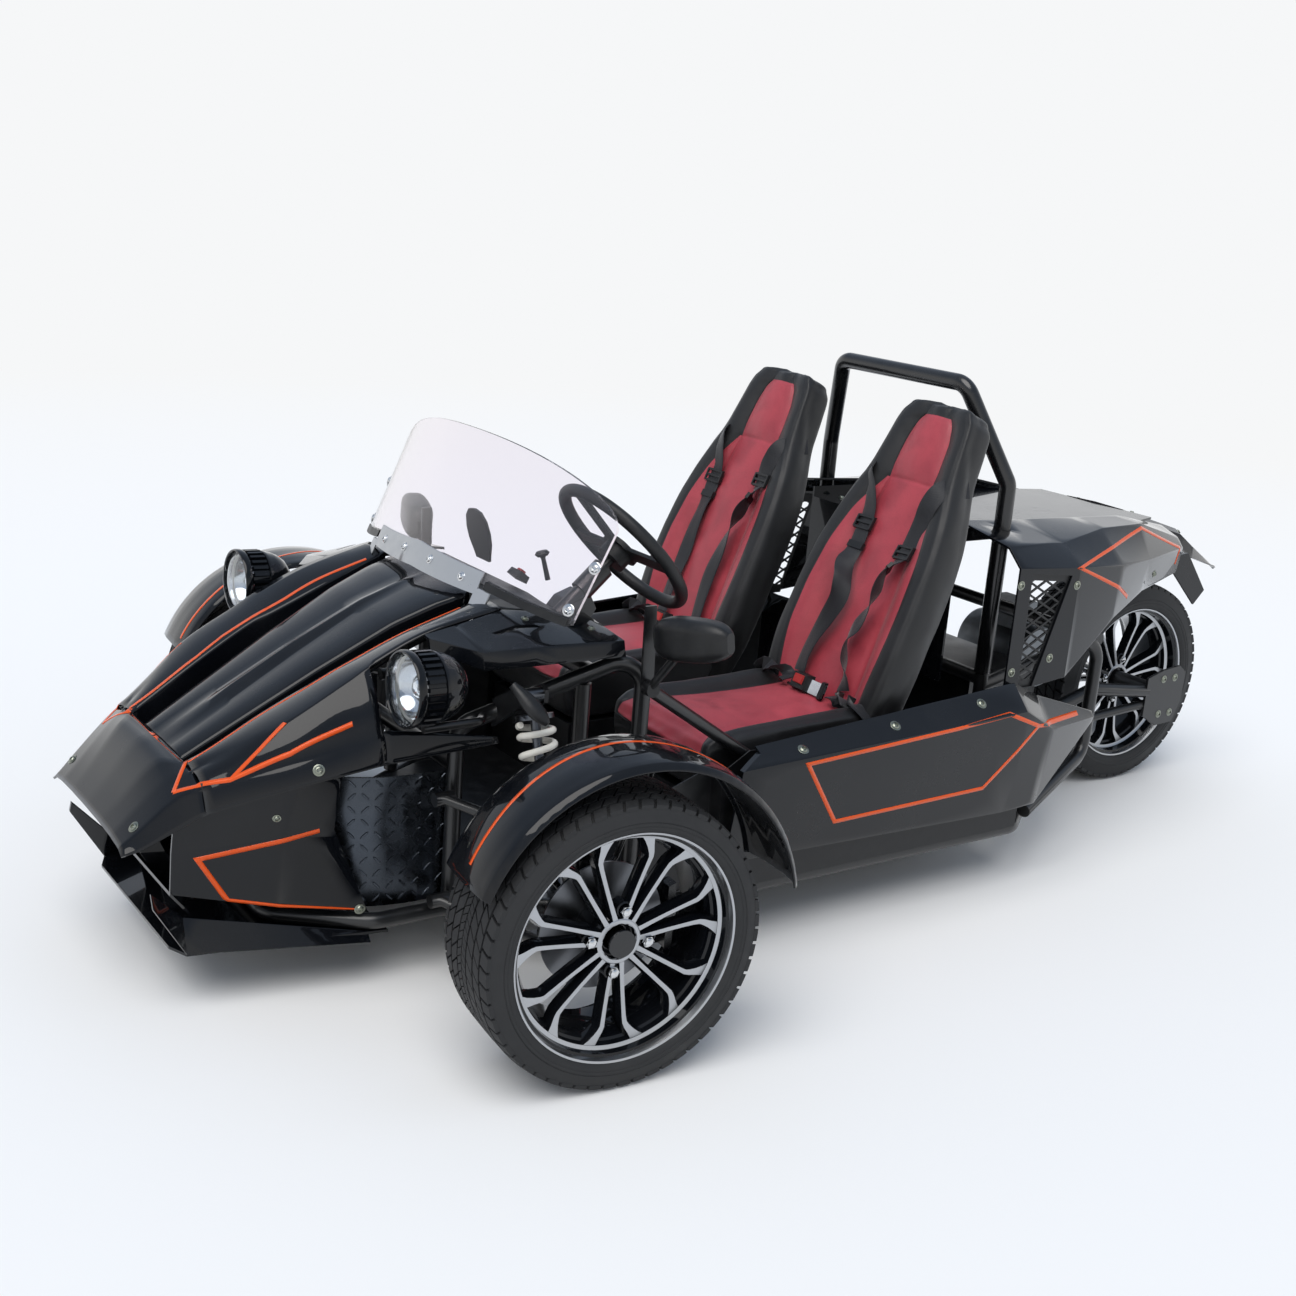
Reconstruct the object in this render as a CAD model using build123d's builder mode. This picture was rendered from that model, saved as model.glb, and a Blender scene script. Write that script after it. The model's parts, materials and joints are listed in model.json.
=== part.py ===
from build123d import *
import math
import os

# Electric tricycle with two steered wheels in front, one driven wheel behind and two bucket seats.
# Millimetres. +X is forward, +Y is the driver's left, +Z is up.
# The origin is on the ground, under the middle of the vehicle's length.

# Driving dimensions
WHEELBASE = 2313.0
NOSE_OVERHANG = 735.0
TAIL_OVERHANG = 380.0
LENGTH = NOSE_OVERHANG + WHEELBASE + TAIL_OVERHANG
FRONT_X = LENGTH / 2 - NOSE_OVERHANG
REAR_X = FRONT_X - WHEELBASE

# Wheels: one rim diameter all round, a taller and wider tyre behind
TYRE_R = 288.0
REAR_TYRE_R = 304.0
REAR_EXTRA_HALF = 10.0
HUB_R = 58.0
HUB_CAP_R = 27.0
SPOKE_FACE = 66.0
SPOKE_DEPTH = 22.0
SPOKE_WIDTH = 15.0
SPOKE_PAIRS = 7
DISC_R = 128.0

# Steering geometry: the wheels are parked turned a little to the right
REST_STEER = -5.84
KINGPIN_Y = 690.6
SCRUB = 110.0
AXLE_PIN_R = 17.0
RUNNING_GAP = 0.06
BALL_PIN_R = 9.0
EYE_R = 19.0
EYE_Z = (176.0, 400.0)
EYE_HEIGHT = 26.0

# Common thicknesses and clearances
PANEL = 6.0
SEAT_GAP = 0.3
TUBE_R = 17.5
BAR_TUBE_R = 21.0


def ahead(distance):
    """X of a place this far ahead of the front axle."""
    return FRONT_X + distance


def fore(distance):
    """X of a place this far ahead of the rear axle."""
    return REAR_X + distance


def station(x):
    """Cross-section plane at x: its own x runs to the left, its own y runs up."""
    return Plane(origin=(x, 0, 0), x_dir=(0, 1, 0), z_dir=(1, 0, 0))


def side_plane(y):
    """Side-view plane at y: its own x runs forward, its own y runs up."""
    return Plane(origin=(0, y, 0), x_dir=(1, 0, 0), z_dir=(0, -1, 0))


def offset_chain(chain, wall):
    """Points of an open chain moved to its right by wall, square to the runs at each point."""
    moved = []
    for i, (u, v) in enumerate(chain):
        before = chain[max(i - 1, 0)]
        after = chain[min(i + 1, len(chain) - 1)]
        normals = []
        for a, b in ((before, (u, v)), ((u, v), after)):
            run = math.dist(a, b)
            if run > 0:
                normals.append(((b[1] - a[1]) / run, -(b[0] - a[0]) / run))
        nu = sum(n[0] for n in normals) / len(normals)
        nv = sum(n[1] for n in normals) / len(normals)
        size = nu * nu + nv * nv
        moved.append((u + wall * nu / size, v + wall * nv / size))
    return moved


def polygon_on(plane, points):
    """Face with straight edges through points given on a plane."""
    with BuildSketch(plane) as face:
        with BuildLine():
            Polyline(*points, close=True)
        make_face()
    return face.sketch


def add_skin(sections, wall, mode=Mode.ADD):
    """Panel of even wall through (x, chain) cross-sections, its outer face on the chains."""
    faces = []
    for x, chain in sections:
        inner = offset_chain(chain, wall)
        if chain[0][0] == 0:
            inner[0] = (0, chain[0][1] - wall)
        faces.append(polygon_on(station(x), chain + inner[::-1]))
    loft(sections=faces, ruled=True, mode=mode)


def add_block(sections, mode=Mode.ADD):
    """Solid through closed (x, points) cross-sections."""
    loft(sections=[polygon_on(station(x), points) for x, points in sections], ruled=True, mode=mode)


def add_tube(points, radius, bends=None):
    """Round bar along a path with bent corners."""
    with BuildLine() as route:
        if bends and len(points) > 2:
            FilletPolyline(*points, radius=bends)
        else:
            Polyline(*points)
    start = Plane(origin=route.line @ 0, z_dir=route.line % 0)
    with BuildSketch(start) as bore:
        Circle(radius)
    sweep(sections=bore.sketch, path=route.line, transition=Transition.ROUND)


def add_plate(plane, points, thickness, mode=Mode.ADD):
    """Flat plate with a straight-edged outline, thickened along the plane's normal."""
    extrude(to_extrude=polygon_on(plane, points), amount=thickness, mode=mode)


def add_round(plane, radius, length, mode=Mode.ADD):
    """Round boss or hole, from the plane along its normal."""
    with BuildSketch(plane) as disc:
        Circle(radius)
    extrude(to_extrude=disc.sketch, amount=length, mode=mode)


def turned(hub, profile, arc=360.0):
    """Revolve an outline of (radius, distance outboard) points about a wheel's axle."""
    section = Plane(origin=hub.origin, x_dir=hub.x_dir, z_dir=hub.x_dir.cross(hub.z_dir))
    revolve(profiles=polygon_on(section, profile), axis=Axis(hub.origin, hub.z_dir), revolution_arc=arc)


def keep(builder, name):
    """Label a finished piece and write its STEP file."""
    builder.part.label = name
    export_step(builder.part, f"parts/{name}.step")


os.makedirs("parts", exist_ok=True)

# Nose and hood cross-sections, columns: distance ahead of the front axle, half width and top of the
# hood, floor of the air slot beside it, slot's outer edge (y, z), shoulder crest (y, z),
# lower ridge (y, z), bottom edge (y, z)
SHOULDERS = [
    (590, 112, 470, 430, (160, 482), (206, 478), (260, 462), (284, 415)),
    (441, 128, 560, 508, (183, 573), (290, 582), (333, 520), (357, 472)),
    (311, 141, 637, 580, (200, 645), (300, 657), (362, 556), (385, 500)),
    (270, 145, 660, 602, (197, 662), (300, 682), (372, 572), (392, 508)),
    (150, 158, 726, 668, (200, 715), (300, 738), None, None),
    (-13, 179, 785, 740, (222, 777), (312, 780), None, None),
]
# Front cap of the nose, columns: distance ahead of the front axle, (y, z) from the middle outwards
NOSE_CAP = [
    (735, [(0, 354), (90, 353), (160, 350), (210, 344), (228, 334)]),
    (700, [(0, 394), (100, 392), (165, 387), (222, 376), (240, 345)]),
    (630, [(0, 476), (120, 472), (180, 458), (238, 440), (264, 388)]),
    (590, [(0, 484), (160, 482), (206, 478), (260, 462), (284, 415)]),
]
HOOD_GAP = 0.3
BLADE_TIP = (45, (427, 550), (431, 536))


def cowl_chain(row):
    """Nose cowl from the slot floor beside the hood, over the shoulder, to the bottom edge."""
    half, floor = row[1], row[3]
    chain = [(half + HOOD_GAP, floor), (row[4][0] - 8, floor), row[4], row[5]]
    return chain + [point for point in row[6:8] if point]


with BuildPart() as nose_cowl:
    full = [(ahead(row[0]), cowl_chain(row)) for row in SHOULDERS if row[6]]
    upper = [(ahead(row[0]), cowl_chain(row)[:4]) for row in SHOULDERS[3:]]
    add_skin(full, PANEL)
    add_skin(upper, PANEL)
    blade = [(ahead(SHOULDERS[3][0]), list(SHOULDERS[3][6:8])), (ahead(BLADE_TIP[0]), list(BLADE_TIP[1:]))]
    add_skin(blade, PANEL)
    add_skin([(ahead(x), chain) for x, chain in NOSE_CAP], PANEL)
    mirror(about=Plane.XZ)
keep(nose_cowl, "nose_cowl")

HOOD_EDGE_DROP = 10
HOOD_GROOVE = 5
HOOD_SKIRT = 66
with BuildPart() as hood:
    sections = []
    for row in SHOULDERS:
        half, top = row[1], row[2]
        chain = [(0, top - HOOD_GROOVE), (16, top), (half - 14, top - 2)]
        chain += [(half, top - HOOD_EDGE_DROP), (half, top - HOOD_SKIRT)]
        sections.append((ahead(row[0] - 1), chain))
    add_skin(sections, PANEL)
    mirror(about=Plane.XZ)
keep(hood, "hood")

# Chassis tubes, laid out as half routes that meet on the centre plane
RAIL_Z = 140.0
NOSE_LOOP_X = 430.0
POST_X, POST_Y, POST_TOP = 78.0, 318.0, 540.0
DOOR_X, DOOR_Y, DOOR_TOP = -262.0, 480.0, 712.0
SILL_Y = 500.0
SILL_REAR = 890.0
TAIL_CROSS = 540.0
SPLITTER_TOP = RAIL_Z - TUBE_R - SEAT_GAP

# Lower fascia, columns: distance ahead of the front axle, top, middle and bottom (y, z)
FASCIA = [
    (640, (246, 392), (233, 326), (226, 236)),
    (441, (347, 477), (306, 352), (290, 198)),
    (220, (372, 500), (338, 330), (322, 160)),
]
with BuildPart() as front_fascia:
    add_skin([(ahead(x), [top, middle, low]) for x, top, middle, low in FASCIA], PANEL)
    rear_cut = [(ahead(345), 600), (ahead(345), 362), (ahead(252), 140), (ahead(100), 140), (ahead(100), 600)]
    add_plate(side_plane(450), rear_cut, 400, mode=Mode.SUBTRACT)
    strut = [(ahead(690), 340), (ahead(640), 352), (ahead(566), 190), (ahead(560), SPLITTER_TOP + SEAT_GAP),
             (ahead(592), SPLITTER_TOP + SEAT_GAP), (ahead(606), 190)]
    add_plate(side_plane(70), strut, PANEL)
    mirror(about=Plane.XZ)
    add_block([(ahead(640), [(-228, 240), (228, 240), (222, 232), (-222, 232)]),
               (ahead(600), [(-228, 190), (228, 190), (222, 182), (-222, 182)])])
keep(front_fascia, "front_fascia")

with BuildPart() as splitter:
    plate = [(ahead(640), 0), (ahead(640), 215), (ahead(620), 262), (ahead(222), 330), (ahead(222), 0)]
    add_plate(Plane.XY.offset(SPLITTER_TOP - PANEL), plate, PANEL)
    add_skin([(ahead(690), [(262, 262), (276, 236)]), (ahead(620), [(240, 190), (266, 122)]),
              (ahead(262), [(318, 121), (334, 103)])], PANEL)
    mirror(about=Plane.XZ)
keep(splitter, "splitter")

with BuildPart() as frame_lower:
    add_tube([(ahead(NOSE_LOOP_X), 0, RAIL_Z), (ahead(NOSE_LOOP_X), 190, RAIL_Z),
              (ahead(POST_X + 170), POST_Y, RAIL_Z), (ahead(POST_X - 60), POST_Y, RAIL_Z),
              (ahead(DOOR_X), SILL_Y, RAIL_Z), (fore(SILL_REAR), SILL_Y, RAIL_Z),
              (fore(TAIL_CROSS), 250, RAIL_Z), (fore(TAIL_CROSS), 0, RAIL_Z)], TUBE_R, 60)
    add_tube([(ahead(DOOR_X), 0, RAIL_Z), (ahead(DOOR_X), SILL_Y, RAIL_Z)], TUBE_R)
    add_tube([(fore(SILL_REAR), 0, RAIL_Z), (fore(SILL_REAR), SILL_Y, RAIL_Z)], TUBE_R)
    mirror(about=Plane.XZ)
keep(frame_lower, "frame_lower")

# Front bay: posts beside the footbox, rising bars to the dash and the spring towers
RAIL_TOP = RAIL_Z + TUBE_R + SEAT_GAP
DASH_BAR = (-167.8, 434.0, 662.0)
ARM_POST_X, ARM_POST_Y = -150.0, 427.0
SPRING_TOP = (-16.0, 450.0, 636.0)
SPRING_FOOT = (-16.0, 590.0, 222.0)
TOWER_PLATE = 10.0
COCKPIT_BAR_R = 14.0
LAMP_POINT = (215.0, 432.0, 588.0)
LAMP_BAR_R = 9.0
with BuildPart() as frame_front:
    add_tube([(ahead(POST_X), POST_Y, RAIL_TOP), (ahead(POST_X), POST_Y, POST_TOP),
              (ahead(DOOR_X), DOOR_Y, DOOR_TOP), (ahead(DOOR_X), DOOR_Y, RAIL_TOP)], TUBE_R, 50)
    add_tube([(ahead(ARM_POST_X), ARM_POST_Y, RAIL_TOP + 1), (ahead(ARM_POST_X), ARM_POST_Y, 640)], TUBE_R)
    add_tube([(ahead(DASH_BAR[0]), DASH_BAR[1], DASH_BAR[2]), (ahead(DASH_BAR[0]), 0, DASH_BAR[2])], TUBE_R)
    add_tube([(ahead(POST_X), POST_Y - 5, POST_TOP - 82), (ahead(POST_X), 0, POST_TOP - 82)], TUBE_R)
    add_tube([(ahead(DOOR_X), DOOR_Y, 640), (ahead(-540), 512, 452)], COCKPIT_BAR_R)
    lamp_route = [(ahead(30), 341, 566), (ahead(90), *LAMP_POINT[1:]), (ahead(LAMP_POINT[0]), *LAMP_POINT[1:])]
    add_tube(lamp_route, LAMP_BAR_R, 20)
    tower = [(345, 540), (345, 600), (SPRING_TOP[1] - 6, SPRING_TOP[2] + 20),
             (SPRING_TOP[1] + 14, SPRING_TOP[2] + 12), (SPRING_TOP[1] + 14, SPRING_TOP[2] - 14)]
    for edge in (ahead(SPRING_TOP[0] - 20 - TOWER_PLATE), ahead(SPRING_TOP[0] + 20)):
        add_plate(station(edge), tower, TOWER_PLATE)
    flat_bar = [(ahead(DOOR_X - 15), 640), (ahead(DOOR_X + 15), 640), (ahead(DOOR_X + 19), 812),
                (ahead(DOOR_X - 8), 812)]
    add_plate(side_plane(DOOR_Y + 18), flat_bar, 6)
    mirror(about=Plane.XZ)
keep(frame_front, "frame_front")

# Rear bay: hoop behind the seats, stays down to the swingarm pivot
HOOP_Y = 335.0
HOOP_TOP = 500.0
PIVOT_X, PIVOT_Z = 500.0, 300.0
PIVOT_Y = 235.0
STAY_Y = 372.0
with BuildPart() as frame_rear:
    add_tube([(fore(SILL_REAR), HOOP_Y, RAIL_TOP), (fore(SILL_REAR), HOOP_Y, HOOP_TOP)], TUBE_R)
    add_tube([(fore(SILL_REAR), HOOP_Y, HOOP_TOP - TUBE_R), (fore(SILL_REAR), 0, HOOP_TOP - TUBE_R)], TUBE_R)
    add_tube([(fore(SILL_REAR), HOOP_Y, HOOP_TOP - 38), (fore(PIVOT_X), STAY_Y, 580), (fore(PIVOT_X), STAY_Y, 240),
              (fore(SILL_REAR - 40), SILL_Y, RAIL_TOP + TUBE_R)], TUBE_R, 60)
    add_tube([(fore(PIVOT_X), STAY_Y, PIVOT_Z), (fore(PIVOT_X), PIVOT_Y, PIVOT_Z)], TUBE_R)
    add_tube([(fore(PIVOT_X), STAY_Y, 560), (fore(PIVOT_X), 0, 560)], TUBE_R)
    mirror(about=Plane.XZ)
keep(frame_rear, "frame_rear")

BAR_TOP = 1218.0
with BuildPart() as roll_bar:
    add_tube([(fore(SILL_REAR), HOOP_Y, HOOP_TOP + SEAT_GAP), (fore(SILL_REAR), HOOP_Y, 985),
              (fore(SILL_REAR + 80), 228, BAR_TOP), (fore(SILL_REAR + 80), 0, BAR_TOP)], BAR_TUBE_R, 45)
    mirror(about=Plane.XZ)
keep(roll_bar, "roll_bar")

# Footbox of chequer plate: a half-round front between the posts
FOOTBOX_R = POST_Y - TUBE_R - SEAT_GAP
FOOTBOX_TOP = 440.0
FOOTBOX_SIDE = 66.0
FOOTBOX_START = 52.0
with BuildPart() as footbox:
    for radius, mode in ((FOOTBOX_R, Mode.ADD), (FOOTBOX_R - PANEL, Mode.SUBTRACT)):
        low = RAIL_TOP if mode == Mode.ADD else RAIL_TOP + PANEL
        with BuildSketch(Plane.XY.offset(low)) as plan:
            with BuildLine():
                bend = ahead(POST_X + FOOTBOX_SIDE)
                ThreePointArc((bend, radius), (bend + radius, 0), (bend, -radius))
                Polyline((bend, -radius), (ahead(FOOTBOX_START), -radius), (ahead(FOOTBOX_START), radius), (bend, radius))
            make_face()
        extrude(to_extrude=plan.sketch, amount=FOOTBOX_TOP - RAIL_TOP, mode=mode)
keep(footbox, "footbox")

# Floor, seat plinths and inner sides of the two-seat tub
SEAT_Y = 294.0
TUB_HALF = SILL_Y + 34.0
TUB_WALL = 4.0
TUB_TOP = 478.0
PLINTH_TOP = 338.0
SEAT_FRONT, SEAT_REAR = -470.0, 1413.0
with BuildPart() as floor_tub:
    floor = [(ahead(FOOTBOX_START - 1), 0), (ahead(FOOTBOX_START - 1), 296), (ahead(DOOR_X + 26), 440),
             (ahead(DOOR_X - 24), 440), (ahead(DOOR_X - 24), SILL_Y - 6), (ahead(-455), SILL_Y - 6),
             (ahead(-455), TUB_HALF), (fore(SILL_REAR + 25), TUB_HALF), (fore(SILL_REAR + 25), 0)]
    add_plate(Plane.XY.offset(RAIL_TOP), floor, TUB_WALL)
    side = [(ahead(-455), RAIL_TOP), (fore(SILL_REAR + 25), RAIL_TOP), (fore(SILL_REAR + 25), TUB_TOP - 34),
            (ahead(-520), TUB_TOP), (ahead(-455), 440)]
    add_plate(side_plane(TUB_HALF), side, TUB_WALL)
    footwell = [(ahead(-286), RAIL_TOP), (ahead(-456), RAIL_TOP), (ahead(-456), 440), (ahead(-286), 380)]
    add_plate(side_plane(SILL_Y - 6), footwell, TUB_WALL)
    add_plate(station(ahead(-457)), [(SILL_Y - 10, RAIL_TOP), (TUB_HALF, RAIL_TOP), (TUB_HALF, 440),
                                     (SILL_Y - 10, 440)], TUB_WALL)
    plinth = [(ahead(SEAT_FRONT), SEAT_Y - 185), (ahead(SEAT_FRONT), SEAT_Y + 185),
              (fore(SEAT_REAR), SEAT_Y + 185), (fore(SEAT_REAR), SEAT_Y - 185)]
    add_plate(Plane.XY.offset(RAIL_TOP), plinth, PLINTH_TOP - RAIL_TOP)
    mirror(about=Plane.XZ)
keep(floor_tub, "floor_tub")

# Steering column line, from the steering wheel's hub down through the dash
COLUMN_LEAN = math.radians(42)
COLUMN_AXIS = (-math.cos(COLUMN_LEAN), 0, math.sin(COLUMN_LEAN))
WHEEL_HUB = (ahead(-303), SEAT_Y, 874.0)
COLUMN_R = 17.0
COLUMN_DOWN = 235.0
COLUMN_FRONT = (WHEEL_HUB[0] - COLUMN_DOWN * COLUMN_AXIS[0], SEAT_Y, WHEEL_HUB[2] - COLUMN_DOWN * COLUMN_AXIS[2])

# Scuttle over the driver's feet, and the dash under it
SCUTTLE = [
    (-14.3, [(0, 784), (179, 784), (222, 777), (312, 779)]),
    (-90, [(0, 779), (186, 779), (232, 773), (312, 771)]),
    (-150, [(0, 772), (190, 772), (240, 767), (312, 762)]),
]
DASH_X = -150.0
with BuildPart() as scuttle:
    add_skin([(ahead(x), chain) for x, chain in SCUTTLE], PANEL)
    face = [(0, 772), (240, 767), (311, 756), (330, 742), (395, 718), (395, 684), (300, 684), (0, 684)]
    add_plate(station(ahead(DASH_X)), face, PANEL)
    mirror(about=Plane.XZ)
    add_round(Plane(origin=COLUMN_FRONT, z_dir=COLUMN_AXIS), COLUMN_R + 1, 120, mode=Mode.SUBTRACT)
keep(scuttle, "scuttle")

# Louvred side shelves, columns: distance ahead of the front axle, inner (y, z), edge (y, z), lip (y, z)
SHELF = [
    (152, (302.7, 737), (324, 734), (330, 712)),
    (88, (307.8, 752), (428, 728), (436, 694)),
    (-15, (314.8, 778), (452, 736), (462, 700)),
    (-215, (313.6, 754), (470, 736), (480, 704)),
]
with BuildPart() as shelf_cowls:
    add_skin([(ahead(x), [a, b, c]) for x, a, b, c in SHELF], PANEL)
    louvre = [(ahead(40), 372), (ahead(30), 384), (ahead(-70), 384), (ahead(-60), 372)]
    add_plate(Plane.XY.offset(600), louvre, 200, mode=Mode.SUBTRACT)
    mirror(about=Plane.XZ)
keep(shelf_cowls, "shelf_cowls")

# Curved clear screen, leaning back
SCREEN_R = 900.0
SCREEN_X, SCREEN_FOOT = 28.0, 806.0
SCREEN_LEAN = 0.434
SCREEN_WALL = 5.0
SCREEN_EDGE = [(0, 826), (200, 818), (463, 777), (472, 966), (310, 1060), (0, 1098)]
BRACKET = [(0, 800), (230, 792), (230, 771.6), (272, 774.4), (272, 800), (236, 804), (236, 836), (0, 852)]


def add_screen_band(outer_x, wall, outline):
    """Piece of the leaning cylinder that the screen is cut from, trimmed to a front-view outline."""
    middle = ahead(outer_x) - SCREEN_R + 40 * SCREEN_LEAN
    reach = math.radians(34)
    ends = []
    for radius in (SCREEN_R, SCREEN_R - wall):
        ends.append((middle + radius * math.cos(reach), radius * math.sin(reach)))
    with BuildSketch(Plane.XY.offset(SCREEN_FOOT - 40)) as ring:
        with BuildLine():
            ThreePointArc((ends[0][0], -ends[0][1]), (middle + SCREEN_R, 0), ends[0])
            Line(ends[0], ends[1])
            ThreePointArc(ends[1], (middle + SCREEN_R - wall, 0), (ends[1][0], -ends[1][1]))
            Line((ends[1][0], -ends[1][1]), (ends[0][0], -ends[0][1]))
        make_face()
    lean = Vector(-SCREEN_LEAN, 0, 1)
    extrude(to_extrude=ring.sketch, amount=350 * lean.length, dir=lean)
    closed = outline + [(-y, z) for y, z in outline[::-1] if y > 0]
    cutter = polygon_on(station(ahead(-600)), closed)
    extrude(to_extrude=cutter, amount=900, mode=Mode.INTERSECT)


with BuildPart() as windscreen:
    add_screen_band(SCREEN_X, SCREEN_WALL, SCREEN_EDGE)
keep(windscreen, "windscreen")

with BuildPart() as screen_bracket:
    add_screen_band(SCREEN_X + SEAT_GAP + 3, 3.0, BRACKET)
keep(screen_bracket, "screen_bracket")

# Sill panels, columns: x, upper inner edge (y, z), crease (y, z), bottom edge (y, z), inner flange (y, z)
SILLS = [
    (ahead(-430), (548, 486), (603, 462), (566, 240), (534.3, 240)),
    (fore(1004), (545, 547), (600, 490), (561, 218), (534.3, 218)),
    (fore(880), (508, 492), (579, 424), (553, 220), (534.3, 220)),
    (fore(634), (490, 414), (499, 400), (495, 384), (484, 384)),
]
with BuildPart() as side_panels:
    add_skin([(row[0], list(row[1:])) for row in SILLS], PANEL)
    nose_cut = [(ahead(-522), 600), (ahead(-522), 482), (ahead(-452), 462), (ahead(-452), 200), (ahead(-400), 200),
                (ahead(-400), 600)]
    add_plate(side_plane(700), nose_cut, 300, mode=Mode.SUBTRACT)
    mirror(about=Plane.XZ)
keep(side_panels, "side_panels")

# Rear pods, columns: distance ahead of the rear axle, deck edge, shoulder, outer edge, bottom (y, z)
PODS = [
    (985, (280, 888), (455, 858), (500, 816), (500, 500)),
    (771, (280, 880), (432, 852), (500, 803), (500, 522)),
    (574, (280, 875), (385, 868), (470, 790), (465, 650)),
    (374, (270, 868), (345, 862), (395, 775), (385, 686)),
    (94, (200, 812), (262, 790), (285, 765), (275, 692)),
]
GRILLE = [(940, 800), (798, 786), (888, 512), (938, 512)]
MESH_PITCH = 26.0
MESH_BAR = 5.0
MESH_ANGLE = 28.0
with BuildPart() as rear_quarters:
    add_skin([(fore(x), [a, b, c, d]) for x, a, b, c, d in PODS], PANEL)
    add_plate(side_plane(620), [(fore(x), z) for x, z in GRILLE], 300, mode=Mode.SUBTRACT)
    add_round(Plane(origin=(fore(SILL_REAR), HOOP_Y, HOOP_TOP)), BAR_TUBE_R + 0.4, 460, mode=Mode.SUBTRACT)
    fin = [(fore(110), 694), (fore(100), 740), (fore(54), 745), (fore(-46), 630), (fore(-6), 590)]
    add_plate(side_plane(277), fin, PANEL)
    mirror(about=Plane.XZ)
keep(rear_quarters, "rear_quarters")


def shrunk(points, factor):
    """Outline drawn in towards its own middle."""
    mx = sum(p[0] for p in points) / len(points)
    my = sum(p[1] for p in points) / len(points)
    return [(mx + (x - mx) * factor, my + (y - my) * factor) for x, y in points]


with BuildPart() as side_grilles:
    grille_plane = side_plane(500 - PANEL - SEAT_GAP)
    outer = shrunk([(fore(x), z) for x, z in GRILLE], 1.05)
    opening = shrunk(outer, 0.84)
    with BuildSketch(grille_plane) as mesh:
        for angle in (MESH_ANGLE, -MESH_ANGLE):
            with Locations(Location((fore(882), 660, 0), angle)):
                with GridLocations(1, MESH_PITCH, 1, 15):
                    Rectangle(460, MESH_BAR)
        with BuildLine():
            Polyline(*shrunk(outer, 0.92), close=True)
        make_face(mode=Mode.INTERSECT)
    add_plate(grille_plane, outer, 4)
    add_plate(grille_plane, opening, 4, mode=Mode.SUBTRACT)
    extrude(to_extrude=mesh.sketch, amount=4)
    mirror(about=Plane.XZ)
keep(side_grilles, "side_grilles")

# Deck between the pods, and the guard that carries on over the rear wheel
DECK_FRONT, DECK_REAR = 985.0, 150.0
DECK_Z = 872.0
DECK_STEP = 34.0
with BuildPart() as rear_deck:
    deck = [(fore(DECK_FRONT), 0), (fore(DECK_FRONT), 279), (fore(374), 269), (fore(DECK_REAR), 205),
            (fore(DECK_REAR), 0)]
    add_plate(Plane.XY.offset(DECK_Z - DECK_STEP - PANEL), deck, PANEL)
    add_plate(station(fore(DECK_FRONT) - PANEL), [(0, 470), (279, 470), (279, DECK_Z - DECK_STEP),
                                                  (0, DECK_Z - DECK_STEP)], PANEL)
    lip = [(fore(DECK_FRONT), 273), (fore(DECK_FRONT), 279), (fore(374), 269), (fore(374), 263)]
    add_plate(Plane.XY.offset(DECK_Z - DECK_STEP - PANEL), lip, DECK_STEP)
    mirror(about=Plane.XZ)
keep(rear_deck, "rear_deck")

# Tail guard, columns: distance ahead of the rear axle, half width, height, depth of its sides
TAIL = [(DECK_REAR - SEAT_GAP, 126, 842, 60), (-106, 122, 772, 58), (-176, 118, 730, 50), (-380, 56, 640, 12)]
with BuildPart() as tail_guard:
    add_skin([(fore(x), [(0, top), (half - 22, top - 3), (half, top - 16), (half + 5, top - depth)])
              for x, half, top, depth in TAIL], PANEL)
    mirror(about=Plane.XZ)
keep(tail_guard, "tail_guard")

# Seats, side profiles as (x, height), both for the left seat: the front edge keeps its distance
# from the front axle, and the back keeps its distance from the rear one
CUSHION = [(ahead(-441), 400), (ahead(-446), 462), (ahead(-475), 486), (fore(1613), 478), (fore(1396.8), 492),
           (fore(1461.7), PLINTH_TOP + SEAT_GAP), (ahead(-470), PLINTH_TOP + SEAT_GAP)]
RECLINE = math.radians(23)
BACK_FOOT = (1422.4, 430.0)
BACK_OUTLINE = [(-196, -30), (196, -30), (214, 180), (206, 470), (168, 590), (140, 660), (132, 770), (100, 815),
                (-100, 815), (-132, 770), (-140, 660), (-168, 590), (-206, 470), (-214, 180)]
BACK_THICK = 82.0
BOLSTER = 34.0
CUSHION_HALF = 190.0


def seat_plane(side):
    """Front plane of a reclined seat back: its x runs to the left, its y runs up the back."""
    up = (-math.sin(RECLINE), 0, math.cos(RECLINE))
    origin = (fore(BACK_FOOT[0]), side * SEAT_Y, BACK_FOOT[1])
    return Plane(origin=origin, x_dir=(0, 1, 0), z_dir=Vector(0, 1, 0).cross(Vector(*up)))


with BuildPart() as seat_cushions:
    add_plate(side_plane(SEAT_Y + CUSHION_HALF), CUSHION, 2 * CUSHION_HALF)
    fillet(seat_cushions.edges().filter_by(Axis.Y).group_by(Axis.Z)[-1], 12)
    for edge in (CUSHION_HALF, -CUSHION_HALF + 66):
        rib = [(ahead(-500), 484), (ahead(-540), 506), (fore(1433), 516), (fore(1401), 500), (fore(1413), 470),
               (ahead(-500), 460)]
        add_plate(side_plane(SEAT_Y + edge), rib, 66)
    mirror(about=Plane.XZ)
keep(seat_cushions, "seat_cushions")

with BuildPart() as seat_backs:
    for side in (1, -1):
        front = seat_plane(side)
        add_plate(front, BACK_OUTLINE, -BACK_THICK)
        for hand in (1, -1):
            wing = [(hand * 150, 104), (hand * 211, 190), (hand * 205, 470), (hand * 168, 588), (hand * 130, 560),
                    (hand * 142, 180)]
            add_plate(front, wing, BOLSTER)
        add_plate(front, [(-96, 640), (96, 640), (104, 780), (-104, 780)], 16)
keep(seat_backs, "seat_backs")

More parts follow.
